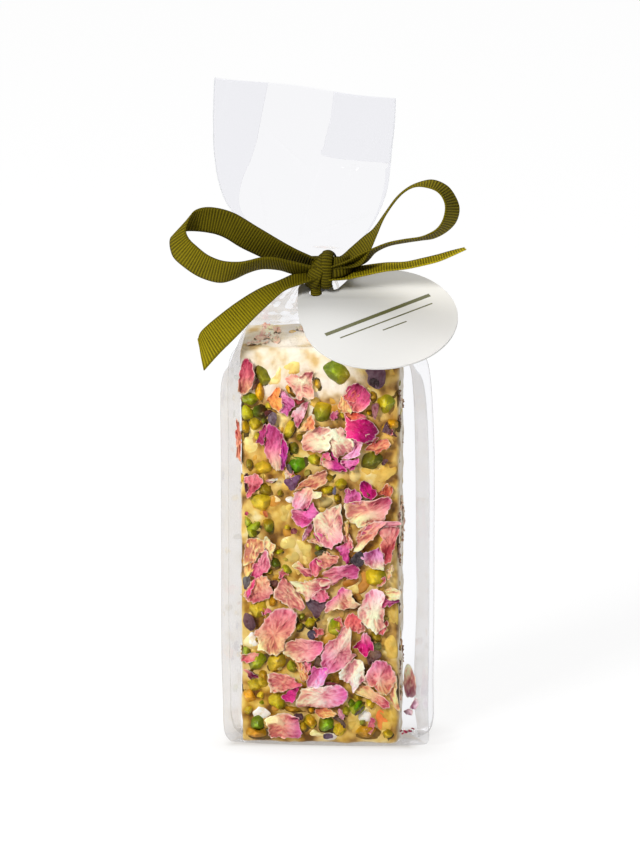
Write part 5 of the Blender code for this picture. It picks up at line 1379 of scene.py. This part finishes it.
class NOUGAT_OT_slice(bpy.types.Operator):
    """Build the nougat with its petals, pistachio pieces, nut skins and lumps"""

    bl_idname = "nougat.slice"
    bl_label = "Slice and toppings"

    def execute(self, context):
        draw = random.Random(TOPPING_SEED)
        settle(slice_core(nougat_finish()), FOOD)
        self.petals(draw)
        self.nuts(draw, context.scene.nougat_look.crumb_count)
        self.skins(draw)
        self.lumps(draw)
        return {"FINISHED"}

    def petals(self, draw):
        """Rose petals from the table, then pale bits on the sides and the top, and torn bits in front."""
        sheet = new_sheet()
        for level, curl, angle, codes, outline in PETALS:
            shape = petal_shape(level + PETAL_RISE, curl, draw)
            outline = ragged(smooth_loop(pairs(outline), PETAL_STEPS), draw)
            add_petal(sheet, outline, on_front, shape, codes, angle)
        for side, middle in scatter(draw, *PETAL_FIELDS):
            outline = smooth_loop(random_blob(draw, middle, (4, 9), (3, 6)), SMALL_STEPS)
            codes = draw.choice(PALE_PETALS)
            shape = petal_shape(0.3, 0.2, draw, 0.12)
            add_petal(sheet, outline, side, shape, codes, draw.uniform(0, 360))
        for side, middle in scatter(draw, TORN_FIELD):
            outline = smooth_loop(random_blob(draw, middle, (3.0, 5.4), (1.6, 3.2)), SMALL_STEPS)
            codes = draw.choice(TORN_PETALS)
            shape = petal_shape(draw.uniform(0.6, 1.5), 0.8, draw, 0.7)
            add_petal(sheet, ragged(outline, draw, 1.0), side, shape, codes, draw.uniform(0, 360))
        item = add_piece("rose_petals", sheet, petal_finish())
        thicken(item, PETAL_THICKNESS)
        settle(item, FOOD)

    def nuts(self, draw, crumb_count):
        """Pistachio pieces from the tables, nut slices in the cut sides, and crumbs between."""
        sheet = new_sheet()
        for rise, angle, codes, outline in NUTS:
            outline = straight_loop(grown(pairs(outline), NUT_GROWTH), TINY_STEPS)
            add_nut(sheet, outline, on_front, chunk_shape(rise + NUT_RISE, draw), codes, angle)
        for x, z, width, height, codes in MORE_NUTS:
            outline = straight_loop(blob_outline((x, z), width, height, 0.0, draw, 6), TINY_STEPS)
            add_nut(sheet, outline, on_front, chunk_shape(1.5, draw), codes, draw.uniform(0, 360))
        for side, middle in scatter(draw, *NUT_FIELDS):
            outline = smooth_loop(random_blob(draw, middle, (2.4, 5.2), (2, 4)), TINY_STEPS)
            shape = chunk_shape(0.12, draw)
            add_nut(sheet, outline, side, shape, draw.choice(GREENS), draw.uniform(0, 360))
        item = add_piece("pistachio_pieces", sheet, nut_finish(), NUT_EDGE_ANGLE)
        crumbs = self.crumbs(draw, crumb_count, item.data.materials[0])
        settle(join("pistachio_pieces", [item] + crumbs), FOOD)

    def crumbs(self, draw, count, material):
        """Small broken bits: a few shapes cut from a ball, then copied between the large pieces."""
        shapes = [self.crumb_shape(draw) for _ in range(CRUMB_SHAPES)]
        copies = []
        for index in range(count):
            mesh = shapes[index % len(shapes)].data.copy()
            x, z = draw.uniform(*CRUMB_WIDTHS), draw.uniform(*CRUMB_HEIGHTS)
            size = draw.uniform(*CRUMB_SIZES) * MM
            angle = draw.uniform(0, 6.28)
            turn = Matrix.Rotation(angle, 4, Vector((draw.random(), draw.random(), 0.4)).normalized())
            spot = Matrix.Translation(Vector((x, -FACE_DEPTH - draw.uniform(0.0, 0.5), z)) * MM)
            mesh.transform(spot @ turn @ Matrix.Scale(size, 4))
            codes = draw.choice(GREENS)
            paint = mesh.attributes.new("tint_and_shade", "FLOAT_COLOR", "POINT")
            for value in paint.data:
                value.color = (*colour_run(codes, draw.random()), 1.0)
            mesh.materials.clear()
            mesh.materials.append(material)
            copies.append(link(bpy.data.objects.new("crumb", mesh)))
        for shape in shapes:
            bpy.data.objects.remove(shape, do_unlink=True)
        return copies

    def crumb_shape(self, draw):
        """One broken bit of nut: a ball with flat cuts."""
        deselect()
        bpy.ops.mesh.primitive_ico_sphere_add(subdivisions=2, radius=1.0)
        item = bpy.context.active_object
        bpy.ops.object.mode_set(mode="EDIT")
        for _ in range(CRUMB_CUTS):
            bpy.ops.mesh.select_all(action="SELECT")
            way = Vector((draw.uniform(-1, 1), draw.uniform(-1, 1), draw.uniform(-1, 1))).normalized()
            spot = way * draw.uniform(0.25, 0.6)
            bpy.ops.mesh.bisect(plane_co=spot, plane_no=way, use_fill=True, clear_outer=True)
        bpy.ops.mesh.select_all(action="SELECT")
        bpy.ops.object.mode_set(mode="OBJECT")
        return item

    def skins(self, draw):
        """Dark skins of nuts, from the table and in the cut sides and the back."""
        sheet = new_sheet()
        for rise, angle, codes, outline in SKINS:
            shape = petal_shape(rise + SKIN_RISE, 0.2, draw, 0.6)
            add_petal(sheet, smooth_loop(pairs(outline), SMALL_STEPS), on_front, shape, codes, angle)
        for side, middle in scatter(draw, *SKIN_FIELDS):
            outline = random_blob(draw, middle, (1.0, 2.4), (2.5, 6), (-0.2, 0.2))
            outline = smooth_loop(outline, TINY_STEPS)
            codes = draw.choice(BROWNS)
            shape = petal_shape(0.12, 0.0, draw, 0.05)
            add_petal(sheet, outline, side, shape, codes, draw.uniform(0, 360), LUMP_RINGS)
        item = add_piece("nut_skins", sheet, skin_finish())
        thicken(item, SKIN_THICKNESS)
        settle(item, FOOD)

    def lumps(self, draw):
        """Painted shadows: dark patches under nuts and petals, moved down and to the right, then lumps of
        nougat and fruit between the toppings.
        """
        sheet = new_sheet()
        # Painted shadows: each nut and petal outline, grown and moved down and right, as a dark patch
        # beneath it
        shadow_patches = [(row[3], 1.3, (0.35, -0.45)) for row in NUTS]
        shadow_patches += [(row[4], 1.03, (0.45, -0.6)) for row in PETALS]
        for outline, growth, shift in shadow_patches:
            outline = smooth_loop(grown(pairs(outline), growth, shift), TINY_STEPS)
            add_lump(sheet, outline, lump_shape(0.12, draw), draw.choice(SHADOW_PATCHES))
        for x, z, width, height in WHITE_LUMPS:
            outline = smooth_loop(blob_outline((x, z), width, height, 0.0, draw), SMALL_STEPS)
            add_lump(sheet, outline, lump_shape(0.5, draw, 0.9), "ffffff fffff5")
        for rise, codes, outline in LUMPS:
            outline = smooth_loop(pairs(outline), SMALL_STEPS)
            add_lump(sheet, outline, lump_shape(rise * 0.2 + 0.06, draw), codes)
        for _, middle in scatter(draw, LUMP_FIELD):
            size = draw.uniform(3, 6.5)
            outline = blob_outline(middle, size, size * draw.uniform(0.6, 1.0), draw.uniform(0, 3), draw)
            pale = middle[1] > CREAM_ABOVE and middle[0] < CREAM_LEFT_OF
            codes = draw.choice(CREAMS if pale else AMBERS)
            outline = smooth_loop(outline, TINY_STEPS)
            add_lump(sheet, outline, lump_shape(draw.uniform(0.1, 0.35), draw), codes)
        settle(add_piece("nougat_lumps_and_shadows", sheet, lump_finish()), FOOD)


# Steps across the front and the back of the bag, and places across one side, from its front
# fold in to its crease and out to its back fold
FRONT_STEPS = 96
GUSSET_PLACES = (0.03, 0.1, 0.18, 0.26, 0.34, 0.42, 0.475, 0.49, 0.5, 0.51, 0.525, 0.58, 0.66, 0.74,
                 0.82, 0.9, 0.97)
# Height above which the bag is open film, with fainter folds
OPEN_ABOVE = 150
LEVEL_STEPS = 7
TOP_EDGE_FOLD = 0.3
# Creases pressed into the film: start and end as x, z, then width and height
CREASES = (
    ((-18.7, 190.8), (-4.2, 178.8), 0.7, 0.9), ((1.5, 181.2), (20.5, 181.0), 0.6, -0.7),
    ((-4.2, 159.6), (14.0, 166.0), 0.8, 0.9), ((-20.0, 137.5), (-9.0, 139.0), 0.5, 0.5),
    ((-21.0, 135.4), (-10.0, 136.6), 0.5, -0.5), ((-20.5, 133.6), (-12.0, 134.4), 0.5, 0.5),
    ((-27.5, 207.0), (-32.7, 187.7), 0.5, 0.6), ((6.0, 175.0), (16.0, 190.0), 0.9, -0.6),
    ((-19.8, 173.5), (-17.6, 162.0), 0.6, 0.5), ((0.4, 183.0), (-3.6, 173.0), 0.7, 0.8),
    ((-3.6, 173.0), (-7.2, 158.0), 0.7, 0.8), ((-24.0, 128.5), (-14.0, 131.5), 0.7, 0.5),
    ((12.0, 128.0), (22.0, 125.0), 0.8, 0.5), ((-10.0, 127.0), (4.0, 128.5), 0.7, -0.4),
)


def crease_push(x, z):
    """How far the film is pushed out by its pressed creases."""
    push = 0.0
    here = Vector((x, z))
    for start, end, width, height in CREASES:
        start, end = Vector(start), Vector(end)
        run = end - start
        share = min(max((here - start).dot(run) / run.length_squared, 0.0), 1.0)
        gap = (here - start - run * share).length
        fade = math.sin(math.pi * min(max(share, 0.03), 0.97)) ** 0.5
        push += height * math.exp(-(gap / width) ** 2) * fade
    return push


def film_ring(level):
    """One section of the film: its points and how near each is to a fold."""
    height, left, right, depth, tuck_left, tuck_right, rounding = level
    middle, half = (left + right) / 2, (right - left) / 2
    gathered = step(126, 147, height) * (1 - step(146, 151, height))
    wrinkled = step(125, 130, height) * (1 - step(142, 149, height))
    upright = 1 - step(118, 130, height)
    rim = 1.0 if height < OPEN_ABOVE else 0.15
    rise = max(0.0, (height - FLARE_START) / (FLARE_TOP - FLARE_START))
    slant = max(0.0, (height - FLARE_SLOPE_START) / (FLARE_TOP - FLARE_SLOPE_START))
    ring = []

    def put(x, y, fold, press):
        u = (x - middle) / half
        wave = FLARE_WAVE * math.sqrt(rise) * math.cos(FLARE_WAVE_TURNS * math.pi * u + FLARE_WAVE_PHASE)
        ring.append((Vector((x, y + wave + press, height + FLARE_SLOPE * slant * x)) * MM, fold))

    def panel(side, order):
        """The front or the back, with pleats at the neck, slack film and pressed creases."""
        for i in order:
            u = 2 * i / FRONT_STEPS - 1
            x = middle + half * u
            bulge = (1 - rounding) + rounding * math.sqrt(1 - PANEL_ROUNDING * u * u)
            inner = step(0.0, 0.12, 1 - abs(u))
            drift = 0.5 * noise.noise(Vector((u * 2, side, 0.0)))
            pleat = math.sin(2 * math.pi * (3.2 * u + drift) + side)
            pleat += 0.4 * math.sin(2 * math.pi * 5.3 * u + 1.3 * side)
            slack = 0.16 * noise.noise(Vector((x * 0.14, side * 5, height * 0.05)))
            slack += 0.08 * noise.noise(Vector((x * 0.5, side * 9, height * 0.16)))
            press = side * inner * (0.6 * gathered * pleat * min(1.0, depth / 3 + 0.3) + slack)
            edge = rim if i in (0, FRONT_STEPS) else 0.0
            if side < 0:
                pushed = crease_push(x, height)
                press -= inner * pushed * 0.6
                if height > OPEN_ABOVE:
                    edge = max(edge, min(0.5, 0.6 * abs(pushed)))
            veil = wrinkled * max(0.0, noise.noise(Vector((x * 0.1, side * 5, height * 0.7))) + 0.15)
            press += side * inner * 0.35 * wrinkled * noise.noise(Vector((x * 0.12, side, height * 0.9)))
            put(x, side * depth * bulge, max(edge, 2.2 * veil), press)

    def gusset(edge, tuck, way, order):
        """One side, from its front fold in to its crease and out to its back fold."""
        for t in order:
            out = 1 - abs(2 * t - 1)
            x = edge - way * tuck * out
            y = depth * (2 * t - 1) * (1 - rounding + rounding * (1 - PANEL_ROUNDING) ** 0.5)
            streak = noise.noise(Vector((t * 9, way * 7, height * 0.035)))
            streak += 0.5 * noise.noise(Vector((t * 21, way * 3, height * 0.02)))
            push = 0.55 * streak * upright * min(1.0, 4 * min(t, 1 - t))
            put(x + push, y, 0.7 * rim if t == 0.5 else 0.0, 0.0)

    panel(-1, range(FRONT_STEPS + 1))
    gusset(right, tuck_right, 1, GUSSET_PLACES)
    panel(1, range(FRONT_STEPS, -1, -1))
    gusset(left, tuck_left, -1, GUSSET_PLACES[::-1])
    return ring


class NOUGAT_OT_film(bpy.types.Operator):
    """Build the clear film bag: tucked sides, gathered neck and open flared top"""

    bl_idname = "nougat.film"
    bl_label = "Film bag"

    def execute(self, context):
        sheet = bmesh.new()
        fold = sheet.verts.layers.float.new("fold")
        rows = []
        for level in smooth_route(BAG_LEVELS, LEVEL_STEPS):
            row = []
            for point, value in film_ring(tuple(level)):
                vert = sheet.verts.new(point)
                vert[fold] = value
                row.append(vert)
            rows.append(row)
        for vert in rows[-1]:
            vert[fold] = TOP_EDGE_FOLD
        for lower, upper in zip(rows, rows[1:]):
            for i in range(len(lower)):
                j = (i + 1) % len(lower)
                sheet.faces.new((lower[i], lower[j], upper[j], upper[i]))
        sheet.faces.new(rows[0][::-1])
        item = add_piece("film_bag", sheet, film_finish(context.scene.nougat_look))
        settle(item, FOOD, "filled_bag")
        return {"FINISHED"}


def value_along(values, share):
    """The value at a share of the way along evenly spaced values."""
    place = share * (len(values) - 1)
    index = min(int(place), len(values) - 2)
    return values[index] + (values[index + 1] - values[index]) * (place - index)


def along_at(centres, i):
    """The direction of a route at one of its points."""
    last = len(centres) - 1
    return (centres[min(i + 1, last)] - centres[max(i - 1, 0)]).normalized()


def add_strip(sheet, centres, sides, lifts, bow, light_levels):
    """A ribbon surface with its chart, in metres along and from 0 to 1 across, and its painted light and
    shade along.
    """
    chart = sheet.loops.layers.uv["UVMap"]
    painted_light = sheet.verts.layers.float["painted_light"]
    across = [i / STRIP_STEPS for i in range(STRIP_STEPS + 1)]
    rows = []
    length = 0.0
    lengths = []
    for i, centre in enumerate(centres):
        if i:
            length += (centre - centres[i - 1]).length
        lengths.append(length * MM)
        row = []
        for share in across:
            v = 2 * share - 1
            vert = sheet.verts.new((centre + sides[i] * v + lifts[i] * bow * (1 - v * v)) * MM)
            vert[painted_light] = value_along(light_levels, i / (len(centres) - 1))
            row.append(vert)
        rows.append(row)
    for i in range(len(rows) - 1):
        for k in range(STRIP_STEPS):
            corners = ((i, k), (i, k + 1), (i + 1, k + 1), (i + 1, k))
            face = sheet.faces.new([rows[a][b] for a, b in corners])
            for loop, (a, b) in zip(face.loops, corners):
                loop[chart].uv = (lengths[a], across[b])


def ribbon_run(sheet, stations, light_levels):
    """A loop or tail: each across direction follows from the lean of the front edge."""
    route = smooth_route(stations, RIBBON_STEPS)
    centres = [Vector(point[:3]) for point in route]
    sides, lifts = [], []
    for i, point in enumerate(route):
        depth = math.sqrt(max(1.0, RIBBON_WIDTH ** 2 - point[3] ** 2 - point[4] ** 2))
        side = Vector((point[3], -depth, point[4])).normalized() * RIBBON_WIDTH / 2
        sides.append(side)
        lifts.append(along_at(centres, i).cross(side).normalized())
    add_strip(sheet, centres, sides, lifts, RIBBON_BOW, light_levels)


def knot_run(sheet, stations, middle):
    """A turn of the knot, which wraps round the knot's middle."""
    route = smooth_route(stations, KNOT_STEPS)
    centres = [Vector(point[:3]) for point in route]
    sides, lifts = [], []
    for i, point in enumerate(route):
        outward = (centres[i] - middle).normalized()
        side = along_at(centres, i).cross(outward).normalized() * point[3] / 2
        sides.append(side)
        lifts.append(side.cross(along_at(centres, i)).normalized())
        if lifts[-1].dot(outward) < 0:
            lifts[-1].negate()
    add_strip(sheet, centres, sides, lifts, KNOT_BOW, KNOT_SHADES)


class NOUGAT_OT_bow(bpy.types.Operator):
    """Build the ribbon: knot, turn round the neck, two loops, two tails and the tag's strand"""

    bl_idname = "nougat.bow"
    bl_label = "Ribbon bow"

    def execute(self, context):
        look = context.scene.nougat_look
        material = ribbon_finish(look)
        sheet = bmesh.new()
        sheet.loops.layers.uv.new("UVMap")
        sheet.verts.layers.float.new("painted_light")
        for stations, light_levels in RIBBON_RUNS:
            ribbon_run(sheet, stations, light_levels)
        for stations in (KNOT_LEFT, KNOT_RIGHT, KNOT_WRAP):
            knot_run(sheet, stations, Vector(KNOT_MIDDLE))
        self.collar(sheet)
        self.strand(sheet)
        runs = add_piece("ribbon_runs", sheet, material)
        apply_modifier(runs, "SOLIDIFY", thickness=look.ribbon_thickness, offset=0.0)
        settle(join("bow_ribbon", [runs, self.core(material)]), "olive_ribbon", "ribbon_bow")
        return {"FINISHED"}

    def collar(self, sheet):
        """The ribbon's turn round the gathered neck."""
        centres, sides, lifts = [], [], []
        for i in range(COLLAR_STEPS + 1):
            a = 2 * math.pi * i / COLLAR_STEPS
            right, back = math.cos(a), math.sin(a)
            centres.append(Vector((COLLAR_RADII[0] * right, COLLAR_RADII[1] * back, COLLAR_HEIGHT)))
            sides.append(Vector((0.0, 0.0, COLLAR_HALF_WIDTH)))
            lifts.append(Vector((right, back, 0.0)))
        add_strip(sheet, centres, sides, lifts, 0.4, STRAND_SHADES)

    def strand(self, sheet):
        """The bunched stretch of ribbon that holds the tag by its hole."""
        route = smooth_route([(STRAND_X, y, z) for y, z in STRAND], KNOT_STEPS)
        sides = [Vector((STRAND_WIDTH / 2, 0.0, 0.0)) for _ in route]
        lifts = [along_at(route, i).cross(sides[i]).normalized() for i in range(len(route))]
        add_strip(sheet, route, sides, lifts, 0.5, STRAND_SHADES)

    def core(self, material):
        """The tight middle of the knot, under its turns."""
        deselect()
        bpy.ops.mesh.primitive_cube_add(size=1.0, location=Vector(CORE_MIDDLE) * MM,
                                        scale=Vector(CORE_SIZE) * MM)
        item = bpy.context.active_object
        bpy.ops.object.transform_apply(location=True, rotation=True, scale=True)
        bevel_edges(CORE_ROUNDING, 4, 0.5)
        chart = item.data.uv_layers.active or item.data.uv_layers.new(name="UVMap")
        chart.name = "UVMap"
        for loop in item.data.loops:
            spot = item.data.vertices[loop.vertex_index].co
            chart.data[loop.index].uv = (spot.z, 0.5 + (spot.x + spot.y) * 20)
        # Painted shade: the knot's middle is darker
        painted_light = item.data.attributes.new("painted_light", "FLOAT", "POINT")
        for value in painted_light.data:
            value.value = CORE_SHADE
        item.data.materials.append(material)
        item.data.shade_smooth()
        return item


def tag_outline():
    """The card's edge: most of a circle, then the tab that holds the hole."""
    span = TAG_ARC_TO - TAG_ARC_FROM
    arc = [TAG_ARC_FROM + span * i / TAG_ARC_STEPS for i in range(TAG_ARC_STEPS + 1)]
    return [(TAG_RADIUS * math.cos(a), TAG_RADIUS * math.sin(a)) for a in arc] + list(TAG_TAB)


def tag_hole():
    """The round hole in the tab."""
    turns = [2 * math.pi * i / TAG_HOLE_STEPS for i in range(TAG_HOLE_STEPS)]
    return [(TAG_HOLE[0] + TAG_HOLE_RADIUS * math.cos(a), TAG_HOLE[1] + TAG_HOLE_RADIUS * math.sin(a))
            for a in turns]


class NOUGAT_OT_tag(bpy.types.Operator):
    """Build the swing tag: a white card with a hole and plain ruled lines"""

    bl_idname = "nougat.tag"
    bl_label = "Swing tag"

    def execute(self, context):
        card = self.card()
        rules = self.rules()
        bpy.ops.object.select_all(action="DESELECT")
        item = join("swing_tag", [card, rules])
        item.data.transform(Matrix.Translation(Vector(TAG_CENTRE) * MM) @ Matrix.Rotation(TAG_LEAN, 4, "X"))
        sheet = bmesh.new()
        sheet.from_mesh(item.data)
        bmesh.ops.remove_doubles(sheet, verts=sheet.verts, dist=TAG_WELD * MM)
        bmesh.ops.recalc_face_normals(sheet, faces=sheet.faces)
        sheet.to_mesh(item.data)
        sheet.free()
        flatten(item, TAG_EDGE_ANGLE)
        settle(item, "white_card", "gift_tag")
        return {"FINISHED"}

    def card(self):
        """The flat card with its hole and soft edges."""
        curve = bpy.data.curves.new("tag_outline", "CURVE")
        curve.dimensions = "2D"
        curve.fill_mode = "BOTH"
        curve.extrude = (TAG_THICKNESS / 2 - TAG_EDGE) * MM
        curve.bevel_depth = TAG_EDGE * MM
        curve.bevel_resolution = 2
        curve.offset = -TAG_EDGE * MM
        for outline in (tag_outline(), tag_hole()):
            spline = curve.splines.new("POLY")
            spline.points.add(len(outline) - 1)
            for point, (x, y) in zip(spline.points, outline):
                point.co = (x * MM, y * MM, 0.0, 1.0)
            spline.use_cyclic_u = True
        pattern = link(bpy.data.objects.new("tag_outline", curve))
        shape = pattern.evaluated_get(bpy.context.evaluated_depsgraph_get())
        mesh = bpy.data.meshes.new_from_object(shape)
        bpy.data.objects.remove(pattern, do_unlink=True)
        mesh.materials.clear()
        mesh.materials.append(card_finish())
        return link(bpy.data.objects.new("card", mesh))

    def rules(self):
        """The plain printed lines, a hair above the card."""
        sheet = bmesh.new()
        lift = Vector((0.0, 0.0, TAG_THICKNESS / 2 + RULE_LIFT))
        for start, end, width in TAG_RULES:
            start, end = Vector((*start, 0.0)), Vector((*end, 0.0))
            side = (end - start).normalized().cross(Vector((0.0, 0.0, 1.0))) * width / 2
            corners = (start + side, end + side, end - side, start - side)
            sheet.faces.new([sheet.verts.new((point + lift) * MM) for point in corners])
        item = add_piece("rules", sheet, ink_finish())
        thicken(item, RULE_THICKNESS)
        return item


# Loose bits in the bag's right side: x, y and z of the middle, size, turn and colours
LOOSE_PETALS = (
    ((27.0, -4.0, 19.0), 4.2, 12.5, 6, "fae6be f0d2b4 c8a0b9"),
    ((28.8, -6.0, 12.5), 2.0, 4.6, -30, "e1cdd7 cdb4cd"),
    ((26.9, -8.0, 10.4), 3.2, 2.0, 25, "d7b9c8 c3aabe"),
)
LOOSE_CRUMBS = (
    (24.6, -8.0, 4.3, 0.9), (26.0, -8.0, 4.2, 1.3), (27.4, -7.0, 4.1, 1.2), (25.2, -9.0, 3.8, 0.7),
    (28.2, -5.5, 4.4, 0.8),
)


def around(middle, flatness):
    """Puts points round a middle inside the bag, and their height towards the front."""
    def place(x, z, out):
        return Vector((middle[0] + x, middle[1] - out * flatness, middle[2] + z)) * MM

    return place


class NOUGAT_OT_loose_bits(bpy.types.Operator):
    """Build the loose petals and crumbs that lie in the bag's right side"""

    bl_idname = "nougat.loose_bits"
    bl_label = "Loose bits"

    def execute(self, context):
        draw = random.Random(LOOSE_SEED)
        sheet = new_sheet()
        for middle, width, height, turn, codes in LOOSE_PETALS:
            outline = blob_outline((0.0, 0.0), width, height, math.radians(turn), draw)
            outline = ragged(smooth_loop(outline, SMALL_STEPS), draw)
            add_petal(sheet, outline, around(middle, 0.8), petal_shape(0.2, 0.7, draw), codes, -90)
        for *middle, size in LOOSE_CRUMBS:
            outline = blob_outline((0.0, 0.0), size * 1.3, size * 0.6, draw.uniform(-0.5, 0.5), draw)
            shape = petal_shape(0.1, 0.4, draw, 0.5)
            outline = smooth_loop(outline, TINY_STEPS)
            add_petal(sheet, outline, around(middle, 0.6), shape, "b43c5a 963c5f", 0, LUMP_RINGS)
        item = add_piece("loose_bits", sheet, petal_finish())
        thicken(item, PETAL_THICKNESS)
        settle(item, FOOD)
        return {"FINISHED"}


# Studio, in metres, degrees and watts. A light is its place, its size and its power.
LIGHT_AIM = (0.0, 0.0, 0.1)
LIGHTS = {
    "key": ((-0.62, -1.05, 0.75), (0.32, 0.32), 19.2),
    "top": ((-0.2, 0.35, 1.15), (0.9, 0.6), 9.0),
}
FLOOR_SIZE = 14.0
VIEW_AZIMUTH = 4.0
VIEW_ELEVATION = 12.0
VIEW_TARGET = (-0.0011, 0.0, 0.0991)
VIEW_WIDTH = 0.2623
SENSOR_WIDTH = 36.0
# Layers of film that light may pass before it stops
FILM_LAYERS = 24


def area_light(name, place, size, power):
    """A soft light that points at the slice."""
    lamp = bpy.data.lights.new(name, "AREA")
    lamp.shape = "RECTANGLE"
    lamp.size, lamp.size_y = size
    lamp.energy = power
    item = bpy.data.objects.new(name, lamp)
    item.location = place
    item.rotation_euler = (Vector(LIGHT_AIM) - Vector(place)).to_track_quat("-Z", "Y").to_euler()
    link(item)


class NOUGAT_OT_studio(bpy.types.Operator):
    """Build the white floor, the studio light and the camera"""

    bl_idname = "nougat.studio"
    bl_label = "Studio"

    def execute(self, context):
        look = context.scene.nougat_look
        scene = context.scene
        self.floor(look)
        self.world(look)
        for name, light in LIGHTS.items():
            area_light(name, *light)
        self.camera(look)
        scene.view_settings.view_transform = "Standard"
        scene.view_settings.look = "None"
        scene.cycles.transparent_max_bounces = FILM_LAYERS
        return {"FINISHED"}

    def floor(self, look):
        """A wide white floor under the bag."""
        deselect()
        bpy.ops.mesh.primitive_plane_add(size=FLOOR_SIZE, location=(0.0, 0.0, 0.0))
        item = bpy.context.active_object
        item.name = "studio_floor"
        item.data.materials.append(floor_finish(look.floor_glow))

    def world(self, look):
        """Even white light from all round."""
        world = bpy.data.worlds.new("studio")
        world.use_nodes = True
        bpy.context.scene.world = world
        back = world.node_tree.nodes["Background"]
        back.inputs["Color"].default_value = (1.0, 1.0, 1.0, 1.0)
        back.inputs["Strength"].default_value = look.world_light

    def camera(self, look):
        """The photograph's view: a little from the right and from above."""
        azimuth, elevation = math.radians(VIEW_AZIMUTH), math.radians(VIEW_ELEVATION)
        toward = Vector((math.sin(azimuth) * math.cos(elevation), -math.cos(azimuth) * math.cos(elevation),
                         math.sin(elevation)))
        lens = bpy.data.cameras.new("camera")
        lens.sensor_width = SENSOR_WIDTH
        lens.lens = SENSOR_WIDTH * look.camera_distance / VIEW_WIDTH
        item = bpy.data.objects.new("camera", lens)
        item.location = Vector(VIEW_TARGET) + toward * look.camera_distance
        item.rotation_euler = (-toward).to_track_quat("-Z", "Y").to_euler()
        bpy.context.scene.camera = link(item)


class NOUGAT_PT_panel(bpy.types.Panel):
    """The pieces and their settings in the sidebar"""

    bl_idname = "NOUGAT_PT_panel"
    bl_label = "Nougat Slice"
    bl_space_type = "VIEW_3D"
    bl_region_type = "UI"
    bl_category = "Nougat Slice"

    def draw(self, context):
        look = context.scene.nougat_look
        for name in look.bl_rna.properties.keys():
            if name not in ("rna_type", "name"):
                self.layout.prop(look, name)
        for operator in OPERATORS:
            self.layout.operator(operator.bl_idname)


OPERATORS = (NOUGAT_OT_slice, NOUGAT_OT_film, NOUGAT_OT_bow, NOUGAT_OT_tag, NOUGAT_OT_loose_bits,
             NOUGAT_OT_studio)
CLASSES = (NougatLook, *OPERATORS, NOUGAT_PT_panel)


def register():
    """Add the classes and the settings to Blender."""
    for item in CLASSES:
        bpy.utils.register_class(item)
    bpy.types.Scene.nougat_look = PointerProperty(type=NougatLook)


def unregister():
    """Take them out again."""
    del bpy.types.Scene.nougat_look
    for item in reversed(CLASSES):
        bpy.utils.unregister_class(item)


def main():
    """Build everything."""
    register()
    bpy.ops.nougat.slice()
    bpy.ops.nougat.film()
    bpy.ops.nougat.bow()
    bpy.ops.nougat.tag()
    bpy.ops.nougat.loose_bits()
    bpy.ops.nougat.studio()


if __name__ == "__main__":
    main()
